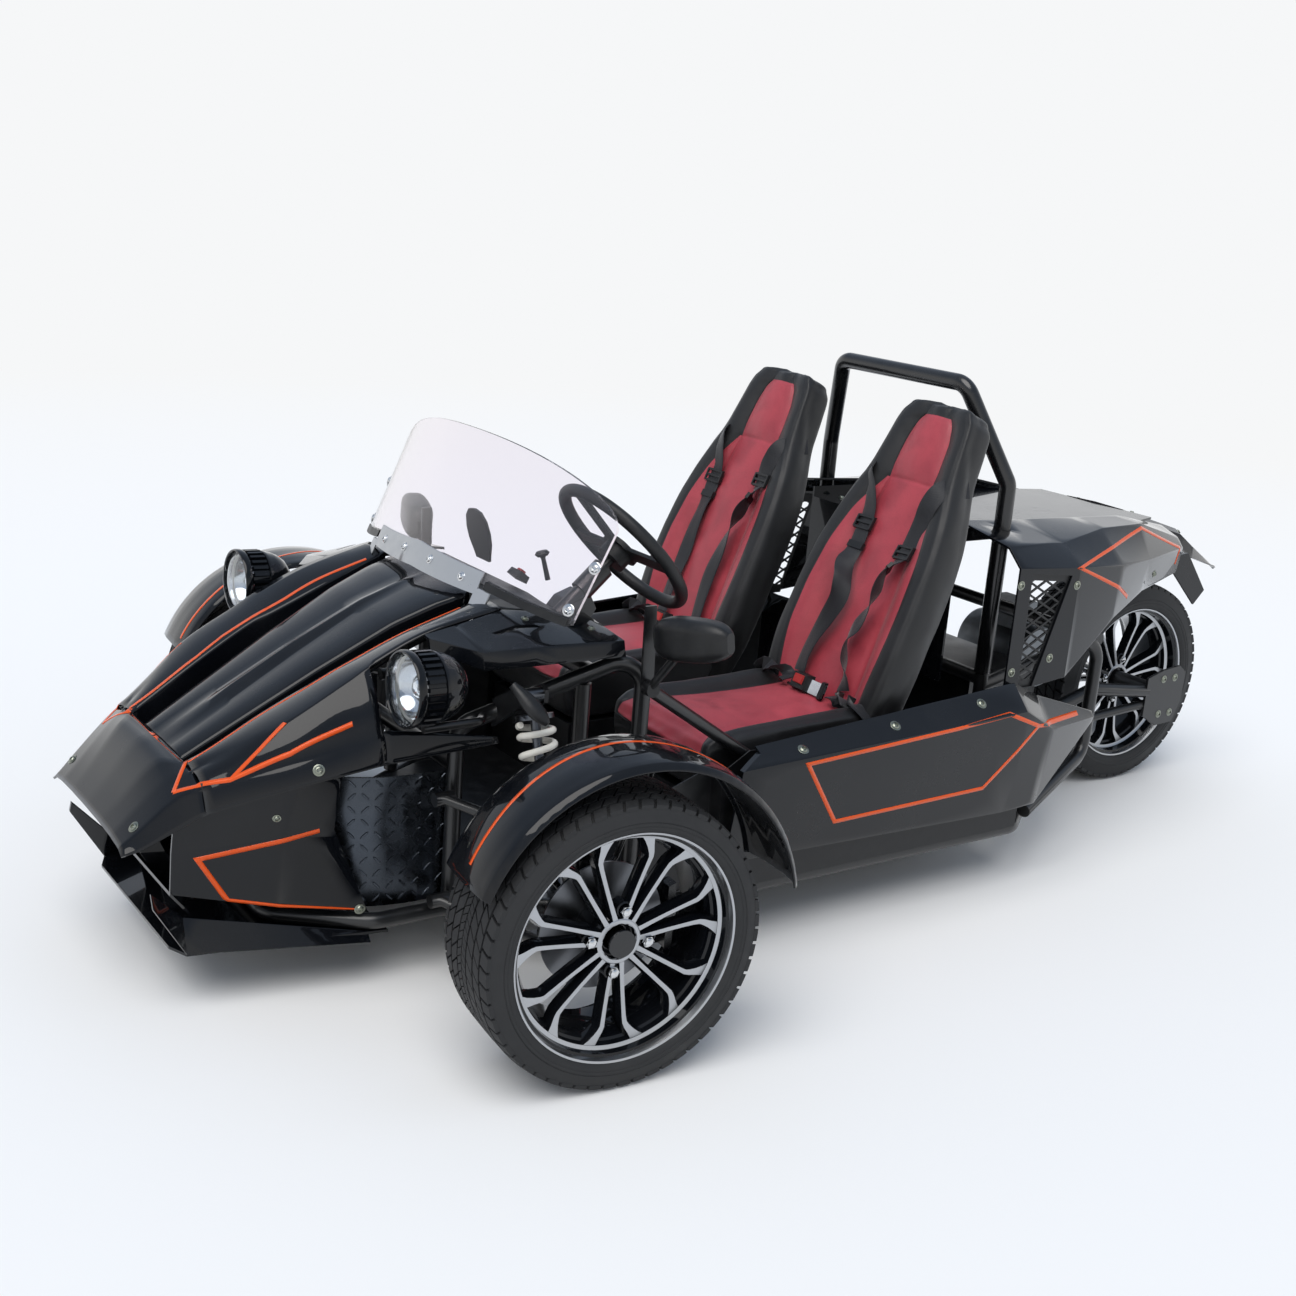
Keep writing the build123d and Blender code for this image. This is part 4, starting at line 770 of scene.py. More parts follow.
def tyre_shape(radius, extra, depth, pitches):
    """Tyre in wheel millimetres: ribbed side walls, grooved carcass and slanted tread blocks."""
    tyre = Shape()
    half = [(0, radius - depth)]
    for a in (14, 28, 42, 56, 70, 82, 90, 96):
        half.append((a + extra, tread_radius(radius, a + extra, extra) - depth))
    wall = [(100.5, 262), (103.2, 256), (104.2, 251), (103.2, 250), (104.4, 248.6), (104.2, 244), (103, 242.5),
            (103.6, 241), (102, 236), (99.4, 231.5), (98.6, 230.2), (95.5, 228.6), (93.5, 224)]
    scale = (radius - 12 - 224) / (288 - 12 - 224)
    half += [(a + extra, 224 + (r - 224) * scale) for a, r in wall]
    profile = [(r, a) for a, r in half]
    profile = [(r, -a) for r, a in profile[:0:-1]] + profile
    tyre.turn(profile, 180)
    width = (97 + extra) / 97
    for sign in (1, -1):
        for row, (near, far, slant) in enumerate(TREAD_ROWS):
            near, far = near * width, far * width
            gap = 0.14 if row < 3 else 0.2
            for k in range(pitches * (2 if row == 0 else 1)):
                count = pitches * (2 if row == 0 else 1)
                start = (k + (0.5 if sign < 0 else 0) + 0.27 * row) / count
                rings = []
                for s in range(4):
                    a = near + (far - near) * s / 3
                    lean = slant * (s / 3) / pitches
                    top, low = [], []
                    crown = tread_radius(radius, a, extra)
                    for t in range(4):
                        turn = math.tau * (start + lean + (1 - gap) * t / 3 / count)
                        for out, ring in ((crown, top), (crown - depth - 1.5, low)):
                            ring.append((out * math.cos(turn), out * math.sin(turn), sign * a))
                    rings.append(low[:1] + top + low[-1:])
                tyre.loft(rings)
    return tyre


def build_wheels():
    """Rims with their nuts, and the tyres on them."""
    wheels = settings("trike_wheels")
    made = {}
    for name, place, body, radius, extra in WHEELS:
        if extra not in made:
            rim = rim_shape(extra, wheels.pairs)
            lug_nuts(rim)
            tyre = tyre_shape(radius, extra, wheels.tread_depth / MM, wheels.pitches)
            rim_piece = rim.piece(f"alloy_wheel_{name}", [FINISH["turned"], FINISH["body"], FINISH["chrome"]], body,
                                  "wheel_alloy", place=place)
            tyre_piece = tyre.piece(f"treaded_tyre_{name}", [FINISH["rubber"]], body, "tyre_rubber", 40, place)
            made[extra] = (rim_piece.data, tyre_piece.data)
        else:
            rim_piece = placed(f"alloy_wheel_{name}", made[extra][0], body, place)
            tyre_piece = placed(f"treaded_tyre_{name}", made[extra][1], body, place)
        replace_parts(rim_piece, f"rim_{name}")
        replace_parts(tyre_piece, f"tyre_{name}")


# Seats

# Back of the seat, columns: height up the back, half width, half of the red centre, red and black
# seam, bolster height, crown; the last four rows are the head
BACK_ROWS = [
    (-30, 186, 112, 128, 6, 8), (40, 200, 110, 138, 16, 8), (120, 211, 107, 152, 28, 9),
    (200, 214, 104, 164, 34, 10), (320, 212, 100, 164, 34, 10), (430, 206, 95, 152, 30, 10),
    (520, 190, 88, 128, 24, 9), (580, 170, 80, 98, 20, 8), (614, 158, 75, 79, 18, 7),
    (650, 146, 76, 80, 16, 14), (720, 137, 70, 74, 14, 16), (765, 130, 58, 62, 12, 13),
    (785, 124, 40, 44, 11, 8), (815, 96, 30, 34, 6, 6),
]
HEAD_SEAM = 614.0
HEAD_TOP = 782.0
BACK_DEEP = 80.0


def seat_place(side):
    """Place on a seat back's front: X runs to the left, Y runs up the back, Z faces forward."""
    up = Vector((-math.sin(SEAT_RECLINE), 0, math.cos(SEAT_RECLINE)))
    facing = Vector((0, 1, 0)).cross(up)
    return basis((SEAT_FOOT[0], side * SEAT_Y, SEAT_FOOT[1]), (0, 1, 0), facing)


def back_depth(u, v):
    """How far the seat's front stands out at a place on its back."""
    half, centre, _, bolster, crown = between(BACK_ROWS, v)
    reach = abs(u)
    if reach <= centre:
        return crown * (1 - (reach / centre) ** 2)
    rise = bolster * step(centre, centre + (half - centre) * 0.55, reach)
    rolled = max((reach - half * 0.86) / (half * 0.14), 0.0)
    return rise - 26.0 * (1 - math.sqrt(max(1 - min(rolled, 1.0) ** 2, 0.0)))


def shared_span(low, high, steps):
    return [low + (high - low) * k / steps for k in range(steps)]


def back_ring(v, shrink):
    """Section of the seat back at a height: across the front, down a side, and back across behind."""
    half, centre, seam, _, _ = between(BACK_ROWS, v)
    across = (shared_span(0, centre, 8) + shared_span(centre, seam, 4) + shared_span(seam, half, 9) + [half])
    front = [(-u, back_depth(u, v)) for u in across[:0:-1]] + [(u, back_depth(u, v)) for u in across]
    edge = front[-1][1]
    side = [(half + 3 * math.sin(math.pi * k / 5), edge + (-BACK_DEEP + 12 - edge) * k / 5) for k in range(1, 6)]
    rear = [(half - 10, -BACK_DEEP)] + [(half * (1 - k / 5), -BACK_DEEP - 2) for k in range(1, 5)]
    rear += [(0, -BACK_DEEP - 2)]
    ring = front + side + rear + [(-u, w) for u, w in rear[-2::-1]] + [(-u, w) for u, w in side[::-1]]
    return [(u * shrink[0], v + shrink[2], (w + 34) * shrink[1] - 34) for u, w in ring]


def seat_back_shape():
    seat = Shape()
    heights = [-30, -14, 8, 36, 68, 100, 136, 172, 208, 244, 280, 316, 352, 388, 424, 456, 488, 516, 540, 562, 582,
               598, 608, HEAD_SEAM, 620, 630, 646, 664, 684, 704, 724, 742, 756, 768, 776, HEAD_TOP, 790, 800]
    rings = [back_ring(-30, (0.9, 0.72, -6)), back_ring(-30, (0.965, 0.9, -3))]
    rings += [back_ring(v, (1, 1, 0)) for v in heights]
    for t in (0.25, 0.5, 0.72, 0.9, 1.0):
        lift = math.sin(t * math.pi / 2)
        rings.append(back_ring(800, (1 - 0.42 * t ** 2.2, 1 - 0.62 * t ** 2.4, 18 * lift)))
    heights = [-36, -33] + heights + [812] * 5
    outer = 21

    def finish(r, i):
        v = heights[min(r, len(heights) - 1)]
        place = abs(i + 0.5 - outer)
        if i >= 2 * outer:
            return 1
        if v < HEAD_SEAM:
            return 0 if place < 12 else 1
        return 0 if v < HEAD_TOP and place < 8 else 1

    seat.loft(rings, finish)
    seams = set()
    count = len(rings[0])
    for r, v in enumerate(heights):
        for i in range(2 * outer + 1):
            place = abs(i - outer)
            centre_seam = place == 8 and v <= HEAD_TOP
            side_seam = place == 12 and v <= HEAD_SEAM
            piped = place == 19
            across = v in (HEAD_SEAM, HEAD_TOP) and place <= (12 if v == HEAD_SEAM else 8)
            if centre_seam or side_seam or piped or across:
                seams.add(r * count + i)
    return seat, seams


# Cushion of the seat, columns: distance ahead of the front axle, half width, half of the red centre,
# top at the middle, bolster height, lowest height
CUSHION_ROWS = [
    (-443, 176, 166, 452, 0, 404), (-452, 186, 160, 474, 2, 360), (-480, 190, 146, 487, 8, 342),
    (-540, 190, 136, 485, 18, 342), (-640, 190, 128, 480, 24, 342), (-760, 190, 122, 480, 26, 342),
    (-850, 190, 118, 484, 26, 352), (-900, 188, 118, 487, 22, 420), (-912, 184, 118, 482, 18, 452),
]


def cushion_ring(x, shrink=1.0):
    half, centre, top, bolster, low = between([(-r[0], *r[1:]) for r in CUSHION_ROWS], -x)
    across = shared_span(0, centre, 8) + shared_span(centre, half, 9) + [half]

    def height(u):
        if u <= centre:
            return top + 7 * (1 - (u / centre) ** 2)
        rolled = max((u - half * 0.88) / (half * 0.12), 0.0)
        return top + bolster * step(centre, centre + (half - centre) * 0.6, u) - 18 * (
            1 - math.sqrt(max(1 - min(rolled, 1.0) ** 2, 0.0)))

    upper = [(-u, height(u)) for u in across[:0:-1]] + [(u, height(u)) for u in across]
    edge = upper[-1][1]
    side = [(half + 2.5 * math.sin(math.pi * k / 5), edge + (low - edge) * k / 5) for k in range(1, 6)]
    under = [(half * (1 - k / 4), low) for k in range(1, 5)]
    ring = upper + side + under + [(-u, z) for u, z in under[-2::-1]] + [(-u, z) for u, z in side[::-1]]
    middle = (top + low) / 2
    return [(ahead(x), u * (0.5 + 0.5 * shrink), middle + (z - middle) * shrink) for u, z in ring]


def cushion_shape():
    cushion = Shape()
    places = [-443, -447, -452, -460, -470, -482, -500, -520, -545, -575, -605, -640, -675, -710, -745, -780, -812,
              -842, -868, -888, -900, -908, -912]
    rings = [cushion_ring(-443, 0.8)] + [cushion_ring(x) for x in places] + [cushion_ring(-912, 0.8)]
    outer = 17
    cushion.loft(rings, lambda r, i: 0 if abs(i + 0.5 - outer) < 8 and i < 2 * outer else 1)
    count = len(rings[0])
    seams = set()
    for r in range(len(rings)):
        for i in range(2 * outer + 1):
            place = abs(i - outer)
            if place in (8, 16) or (r == 7 and place < 8):
                seams.add(r * count + i)
    return cushion, seams


def stuff(piece, seams, pressure, reach):
    """Blow a sewn cover out between its seams as soft cloth, and keep each point within reach of its start."""
    mesh = piece.data
    start = [v.co.copy() for v in mesh.vertices]
    held = piece.vertex_groups.new(name="seams")
    held.add(sorted(seams), 1.0, "REPLACE")
    cloth = piece.modifiers.new("stuffing", "CLOTH")
    cloth.settings.vertex_group_mass = "seams"
    cloth.settings.use_pressure = True
    cloth.settings.uniform_pressure_force = pressure
    cloth.settings.tension_stiffness = 18
    cloth.settings.bending_stiffness = 1.5
    cloth.settings.effector_weights.gravity = 0
    cloth.settings.quality = 5
    for moment in range(1, 15):
        bpy.context.scene.frame_set(moment)
    settled = piece.evaluated_get(bpy.context.evaluated_depsgraph_get()).data
    moved = [v.co.copy() for v in settled.vertices]
    piece.modifiers.remove(cloth)
    bpy.context.scene.frame_set(1)
    for vertex, was, now in zip(mesh.vertices, start, moved):
        shift = now - was
        if shift.length > reach:
            shift *= reach / shift.length
        vertex.co = was + shift
    for i in seams:
        vertex = mesh.vertices[i]
        vertex.co -= vertex.normal * 0.0026
    for vertex in mesh.vertices:
        soft = noise.noise(vertex.co * 22) * 0.0016 + noise.noise(vertex.co * 55) * 0.0007
        vertex.co += vertex.normal * soft
    rounded = piece.modifiers.new("soft_cover", "SUBSURF")
    rounded.levels = 2
    rounded.render_levels = 2


def build_seats():
    """Two bucket seats, each a sewn back and a cushion. The right seat is a copy of the left."""
    shape, seams = seat_back_shape()
    cushion, cushion_seams = cushion_shape()
    backs, cushions = [], []
    for side, name in ((1, "left"), (-1, "right")):
        if not backs:
            back = shape.piece(f"seat_back_cover_{name}", [FINISH["red"], FINISH["black"]], "chassis",
                               "seat_leather", 180)
            stuff(back, seams, 2.2, 0.009)
            seat = cushion.piece(f"seat_cushion_cover_{name}", [FINISH["red"], FINISH["black"]], "chassis",
                                 "seat_leather", 180)
            stuff(seat, cushion_seams, 2.2, 0.009)
        else:
            back = backs[0].copy()
            seat = cushions[0].copy()
            back.name = f"seat_back_cover_{name}"
            seat.name = f"seat_cushion_cover_{name}"
            for piece in (back, seat):
                bpy.context.scene.collection.objects.link(piece)
        shift = seat_place(side)
        shift.translation *= MM
        back.matrix_world = shift
        seat.matrix_world = Matrix.Translation((0, side * SEAT_Y * MM, 0))
        backs.append(back)
        cushions.append(seat)
    for node, pieces in (("seat_backs", backs), ("seat_cushions", cushions)):
        for piece in pieces:
            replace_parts(piece, node)


# Harness straps in a seat's own place, columns: across, up, stand-off, twist in degrees
STRAP_HALF = 23.0
STRAP_WALL = 2.4
STRAPS = {
    "left": {
        "inner": [(-146, 640, -46, 70), (-128, 615, -2, 48), (-98, 575, 14, 24), (-76, 520, 12, 8), (-66, 462, 14, 0),
                  (-62, 415, 18, -6), (-50, 378, 38, -34), (-26, 340, 46, -62), (-18, 296, 40, -30),
                  (-34, 246, 34, -8), (-58, 190, 26, 12), (-72, 138, 20, 16), (-70, 96, 18, 10)],
        "outer": [(146, 640, -46, -70), (130, 612, 0, -44), (118, 570, 14, -20), (108, 520, 14, -8),
                  (100, 470, 16, 0), (92, 425, 22, 22), (84, 384, 40, 58), (86, 340, 44, 74), (82, 292, 40, 40),
                  (66, 246, 34, 20), (52, 206, 30, 48), (64, 160, 26, 66), (84, 118, 22, 30), (92, 92, 20, 6)],
    },
    "right": {
        "inner": [(146, 640, -46, -70), (128, 612, 0, -46), (112, 566, 14, -20), (100, 510, 16, 6),
                  (92, 455, 26, 56), (88, 410, 34, 80), (80, 360, 32, 40), (72, 300, 26, 12), (66, 236, 22, 0),
                  (70, 170, 20, 6), (78, 108, 18, 10)],
        "outer": [(-146, 640, -46, 70), (-130, 612, -2, 44), (-112, 570, 12, 18), (-100, 520, 12, 6),
                  (-92, 460, 12, -6), (-90, 400, 14, 12), (-86, 335, 16, 4), (-80, 270, 14, -6), (-76, 200, 16, 4),
                  (-72, 140, 18, 10), (-64, 92, 18, 8)],
    },
}
LAPS = [[(-196, 60, -6, 62), (-170, 74, 26, 30), (-130, 78, 38, 8), (-92, 76, 40, 0), (-60, 72, 42, 0)],
        [(196, 60, -6, -62), (170, 72, 26, -30), (136, 74, 38, -8), (112, 70, 40, 0), (84, 68, 42, 0)]]
# Fittings on a strap, columns: share of its length, kind
STRAP_FITTINGS = {"inner": [(0.30, "adjuster"), (0.40, "keeper")], "outer": [(0.36, "adjuster"), (0.45, "keeper")]}


def ribbon(shape, line, uv):
    """Flat woven strap along (across, up, stand-off, twist) points, with its cloth coordinates."""
    centres = smooth_line([Vector((u, v, back_depth(u, v) + lift)) for u, v, lift, _ in line], 7)
    twists = [p.x for p in smooth_line([Vector((row[3], 0, 0)) for row in line], 7)]
    rings = []
    length = 0.0
    lengths = []
    for i, (centre, twist) in enumerate(zip(centres, twists)):
        before, after = centres[max(i - 1, 0)], centres[min(i + 1, len(centres) - 1)]
        along = (after - before).normalized()
        across = Vector((1, 0, 0))
        across = (across - along * across.dot(along)).normalized()
        across = Matrix.Rotation(math.radians(twist), 3, along) @ across
        out = along.cross(across)
        if i:
            length += (centre - centres[i - 1]).length
        lengths.append(length)
        section = [(-1, 0.25), (-0.94, 0.5), (-0.4, 0.56), (0.4, 0.56), (0.94, 0.5), (1, 0.25), (1, -0.25),
                   (0.94, -0.5), (-0.94, -0.5), (-1, -0.25)]
        rings.append([centre + across * (s * STRAP_HALF) + out * (t * STRAP_WALL) for s, t in section])
    start = shape.loft(rings)
    for r, run in enumerate(lengths):
        for i, (s, t) in enumerate(section):
            uv[start + r * len(section) + i] = (s * STRAP_HALF * MM, run * MM)
    return centres, twists


def strap_fitting(shape, centres, twists, share, kind):
    """Adjuster or keeper threaded on a strap."""
    i = int(share * (len(centres) - 1))
    along = (centres[i + 1] - centres[i - 1]).normalized()
    across = Matrix.Rotation(math.radians(twists[i]), 3, along) @ Vector((1, 0, 0))
    place = basis(centres[i], across, along.cross(across))
    if kind == "keeper":
        shape.box(place @ Matrix.Translation((0, 0, 0.5)), (STRAP_HALF * 2 + 6, 18, 9), 1, 0.92)
        return
    for y in (-15, 0, 15):
        bar = place @ Matrix.Translation((0, y, 3.0))
        shape.box(bar, (STRAP_HALF * 2 + 12, 6.5, 7), 1, 0.86)
    for x in (-1, 1):
        rail = place @ Matrix.Translation((x * (STRAP_HALF + 5), 0, 3.0))
        shape.box(rail, (6, 38, 8), 1, 0.86)


def build_harnesses():
    """Four-point harness of each seat: straps, adjusters, lap belts and the latch."""
    for side, name in ((1, "left"), (-1, "right")):
        harness = Shape()
        uv = {}
        for lane, line in STRAPS[name].items():
            centres, twists = ribbon(harness, line, uv)
            for share, kind in STRAP_FITTINGS[lane]:
                strap_fitting(harness, centres, twists, share, kind)
        for line in LAPS:
            ribbon(harness, line, uv)
        latch = Matrix.Translation((-18, 74, back_depth(-18, 74) + 44))
        harness.box(latch, (58, 46, 22), 1, 0.8)
        harness.box(latch @ Matrix.Translation((0, 4, 12)), (34, 24, 8), 3, 0.8)
        tongue = Matrix.Translation((36, 72, back_depth(36, 72) + 44))
        harness.box(tongue, (64, 34, 4), 2, 0.96)
        harness.box(Matrix.Translation((58, 72, back_depth(58, 72) + 46)), (14, 46, 9), 1, 0.86)
        piece = harness.piece(f"harness_straps_{name}",
                              [FINISH["webbing"], FINISH["plastic"], FINISH["chrome"], FINISH["latch"]],
                              "chassis", "webbing", 40, seat_place(side))
        layer = piece.data.uv_layers.new(name="cloth")
        for loop in piece.data.loops:
            layer.data[loop.index].uv = uv.get(loop.vertex_index, (0, 0))
        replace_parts(piece, "harnesses")


# Lamps

LAMP = (259.0, 432.0, 674.0)


def build_lamps():
    """Bullet lamps with finned sides, a bright bowl, a lens in it and a domed glass."""
    lamps = settings("trike_lamps")
    shell = Shape()
    shell.turn([(0.01, -127), (16, -126), (34, -121), (49, -110), (60, -95), (66, -80), (69.5, -66), (71, -62),
                (71, -58), (67, -56), (67, -16), (71, -15), (74.5, -13), (76, -9), (76, 1), (74.5, 3.5), (71.5, 4),
                (70, 2), (69.5, -6)], 72)
    shell.turn([(69.5, -6), (66, -22), (57, -40), (42, -54), (24, -62), (0.01, -64)], 72, 1)
    shell.turn([(64, -20), (66, -17), (64, -14.5), (61, -15), (60, -19)], 72, 2)
    shell.turn([(27, -60), (27, -34), (25, -31), (22, -31), (21, -34)], 48, 0)
    shell.turn([(21.5, -36), (19, -28), (13, -22.5), (6, -20), (0.01, -19.5)], 48, 3)
    for k in range(lamps.fins):
        turn = Matrix.Rotation(math.tau * k / lamps.fins, 4, "Z")
        shell.box(turn @ basis((70.2, 0, -36), (0, 1, 0), (1, 0, 0)), (8.4, 42, 7.6), 0, 0.82)
    glass = Shape()
    dome = [(0.01, 9.5), (20, 8.8), (38, 6.6), (54, 2.6), (65, -2), (69.3, -6)]
    glass.turn(dome + [(r - 0.5 if r > 1 else r, h - 2.5) for r, h in dome[::-1]], 72)
    shells = []
    for side, name in ((1, "left"), (-1, "right")):
        place = basis((ahead(LAMP[0]), side * LAMP[1], LAMP[2]), (0, 1, 0), (1, 0, 0.03))
        finishes = [FINISH["body"], FINISH["chrome"], FINISH["coil"], FINISH["glass"]]
        if not shells:
            piece = shell.piece(f"headlight_shell_{name}", finishes, "chassis", "black_gloss", place=place)
            lens = glass.piece(f"headlight_glass_{name}", [FINISH["glass"]], "chassis", "lamp_glass", 60, place)
            shells = [piece.data, lens.data]
        else:
            piece = placed(f"headlight_shell_{name}", shells[0], "chassis", place)
            lens = placed(f"headlight_glass_{name}", shells[1], "chassis", place)
        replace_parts(piece, "headlight_housings")
        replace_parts(lens, "headlight_lenses")
        foot = Shape()
        base = Matrix.Translation((ahead(215), side * LAMP[1], 597.3))
        foot.turn([(0.01, 0), (13, 0), (13, 6), (9, 8), (9, 26), (0.01, 27)], 24, 0, base)
        foot.turn([(14, 6), (14, 11), (12, 12.5), (0.01, 12.5)], 6, 1, base)
        foot.piece(f"headlight_foot_{name}", [FINISH["tubes"], FINISH["bolt"]], "chassis", "black_steel")


# Springs

SPRING_TOP = Vector((963, 450, 636))
SPRING_FOOT = Vector((963, 590, 222))
COIL_R = 34.0
COIL_SEAT = 49.0


def build_springs():
    """Coil springs with closed ends round the dampers."""
    springs = settings("trike_springs")
    bar = springs.bar / MM / 2
    for side, name in ((1, "left"), (-1, "right")):
        top = SPRING_TOP.copy()
        foot = SPRING_FOOT.copy()
        top.y *= side
        foot.y *= side
        axis = (foot - top).normalized()
        place = basis(top, (1, 0, 0), axis)
        run = (foot - top).length - 2 * COIL_SEAT - 2 * bar
        steps = int(springs.turns * 26)
        path = []
        for s in range(steps + 1):
            t = s / steps
            share = t * springs.turns
            closed_start = min(share, 1.0)
            closed_end = min(springs.turns - share, 1.0)
            rise = (share - 0.42 * closed_start ** 2 + 0.42 * (1 - closed_end) ** 2) / springs.turns
            angle = math.tau * share
            path.append(place @ Vector((COIL_R * math.cos(angle), COIL_R * math.sin(angle),
                                        COIL_SEAT + bar + run * min(rise, 1.0))))
        coil = Shape()
        coil.tube(path, bar, 12)
        piece = coil.piece(f"coil_spring_bar_{name}", [FINISH["coil"]], "chassis", "spring_white", 60)
        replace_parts(piece, "coil_springs")


# Pinstripes, columns: node, way the surface is met, width as a share, points on the left side
SIDE_CAST = (0, -1, 0)
COWL_CAST = (0, -0.5, -0.86)
POD_CAST = (0, -0.9, -0.43)
STRIPES = [
    ("side_panels", SIDE_CAST, 1.0, True, [(347, 600, 453), (-104, 600, 477), (-274, 600, 490), (-391, 588, 443),
                                           (-240, 573, 300), (227, 573, 291)]),
    ("side_panels", SIDE_CAST, 1.0, False, [(-391, 588, 443), (-620, 510, 424)]),
    ("nose_cowl", COWL_CAST, 0.7, False, [(1573, 0, 478), (1567, 162, 477), (1610, 215, 438)]),
    ("nose_cowl", COWL_CAST, 0.85, False, [(1610, 215, 438), (1522, 284, 479), (1420, 320, 520), (1302, 343, 579)]),
    ("nose_cowl", COWL_CAST, 0.8, False, [(1522, 284, 479), (1470, 286, 525), (1416, 290, 584)]),
    ("nose_cowl", COWL_CAST, 0.5, False, [(1567, 172, 477), (1417, 193, 573), (1353, 209, 614), (1210, 211, 680),
                                          (1012, 230, 774)]),
    ("front_fascia", SIDE_CAST, 1.0, False, [(1258, 330, 168), (1516, 270, 218), (1573, 260, 311), (1353, 330, 362)]),
    ("rear_quarters", POD_CAST, 1.0, False, [(-840, 430, 690), (-563, 500, 803), (-960, 350, 850),
                                             (-1215, 285, 765), (-1205, 280, 715)]),
]
FENDER_CENTRE = (945.0, 800.0, 293.0)
FENDER_STRIPE = [(1268, 770, 455), (1240, 768, 503), (1191, 764, 555), (1124, 762, 602), (1064, 764, 630),
                 (979, 772, 645), (900, 790, 640), (820, 812, 607), (752, 834, 553), (706, 850, 490), (690, 858, 440)]


def lay_stripe(shape, tree, points, width, toward, closed=False, lift=0.7):
    """Thin painted band along a line, laid on the surface that is met along a direction."""
    line = [Vector(p) for p in points]
    if closed:
        line.append(line[0])
    runs = [(b - a).normalized() for a, b in zip(line, line[1:])]
    edges = []
    for i, point in enumerate(line):
        way = toward(point) if callable(toward) else Vector(toward).normalized()
        arriving = runs[i - 1] if i else (runs[-1] if closed else runs[0])
        leaving = runs[i] if i < len(runs) else (runs[0] if closed else runs[-1])
        first, second = arriving.cross(way).normalized(), leaving.cross(way).normalized()
        mitre = (first + second).normalized()
        mitre /= max(mitre.dot(first), 0.35)
        edges.append((mitre * width / 2, way))
    rings = []
    for i in range(len(line) - 1):
        steps = max(int((line[i + 1] - line[i]).length / 9), 1)
        for s in range(steps + (1 if i == len(line) - 2 else 0)):
            t = s / steps
            centre = line[i].lerp(line[i + 1], t)
            half = edges[i][0].lerp(edges[i + 1][0], t)
            way = edges[i][1].lerp(edges[i + 1][1], t)
            left, left_face = on_surface(tree, centre - half, way)
            right, right_face = on_surface(tree, centre + half, way)
            rings.append([left - left_face * 0.6, left + left_face * lift, right + right_face * lift,
                          right - right_face * 0.6])
    shape.loft(rings, closed=False)


def build_stripes():
    """Orange pinstripes on the panels and fenders."""
    paint = settings("trike_paint")
    width = paint.stripe_width / MM
    trees = {}
    for side, name in ((1, "left"), (-1, "right")):
        bands = Shape()
        for node, toward, share, closed, points in STRIPES:
            if node not in trees:
                trees[node] = surface(node)
            way = Vector(mirrored(toward, side)).normalized()
            lay_stripe(bands, trees[node], [mirrored(p, side) for p in points], width * share, way, closed)
        bands.piece(f"pinstripes_{name}", [FINISH["stripe"]], "chassis", "black_gloss", 180)
        band = Shape()
        turn = wheel_place(side)
        axle = turn.to_3x3() @ Vector((0, 0, 1))

        def inward(point):
            way = Vector(mirrored(FENDER_CENTRE, side)) - point
            return (way - axle * way.dot(axle)).normalized()

        line = smooth_line([mirrored(p, side) for p in FENDER_STRIPE], 4)
        lay_stripe(band, surface(f"fender_{name}"), line, width * 0.8, inward)
        band.piece(f"fender_pinstripe_{name}", [FINISH["stripe"]], f"knuckle_{name}", "black_gloss", 180)


# Fixings, columns: node, place on the left side, way in, head radius, finish, both sides
FIXINGS = [
    ("nose_cowl", (1682, 201, 380), (-0.7, -0.1, -0.7), 8, "bolt", True),
    ("nose_cowl", (1376, 350, 508), (0, -1, 0.2), 8, "bolt", True),
    ("side_panels", (349, 580, 481), (0, -0.6, -0.8), 9, "bolt", True),
    ("side_panels", (75, 573, 498), (0, -0.6, -0.8), 9, "bolt", True),
    ("side_panels", (-201, 568, 516), (0, -0.6, -0.8), 9, "bolt", True),
    ("rear_quarters", (-1033, 360, 722), (0, -1, 0), 7, "bolt", True),
    ("rear_quarters", (-558, 500, 760), (0, -1, 0), 8, "bolt", True),
    ("rear_quarters", (-496, 500, 579), (0, -1, 0), 8, "bolt", True),
    ("rear_quarters", (-366, 500, 555), (0, -1, 0), 8, "bolt", True),
    ("rear_quarters", (-357, 500, 774), (0, -1, 0), 8, "bolt", True),
    ("front_fascia", (1258, 330, 172), (0, -1, 0), 8, "bolt", True),
    ("front_fascia", (1440, 310, 400), (0, -1, 0), 6, "bolt", True),
    ("windscreen", (843, 462, 890), (-0.81, -0.48, -0.35), 9, "chrome", True),
    ("windscreen", (889, 447, 804), (-0.81, -0.47, -0.35), 9, "chrome", True),
    ("screen_bracket", (1003, 60, 828), (-0.9, 0, -0.4), 7, "chrome", True),
    ("screen_bracket", (1000, 180, 822), (-0.9, 0, -0.4), 7, "chrome", True),
    ("shelf_cowls", (930, 350, 760), (0, 0, -1), 6, "bolt", True),
    ("shelf_cowls", (800, 400, 745), (0, 0, -1), 6, "bolt", True),
    ("rear_deck", (-420, 240, 838), (0, 0, -1), 7, "bolt", True),
    ("rear_deck", (-900, 235, 838), (0, 0, -1), 7, "bolt", True),
    ("tail_guard", (-1230, 100, 820), (0, 0, -1), 6, "bolt", True),
    ("tail_guard", (-1460, 95, 760), (0, 0, -1), 6, "bolt", True),
    ("swingarm", (-1371, 205, 339), (0, -1, 0), 8, "bolt", False),
    ("swingarm", (-1421, 205, 339), (0, -1, 0), 8, "bolt", False),
    ("swingarm", (-1371, 205, 231), (0, -1, 0), 8, "bolt", False),
    ("swingarm", (-1421, 205, 231), (0, -1, 0), 8, "bolt", False),
]


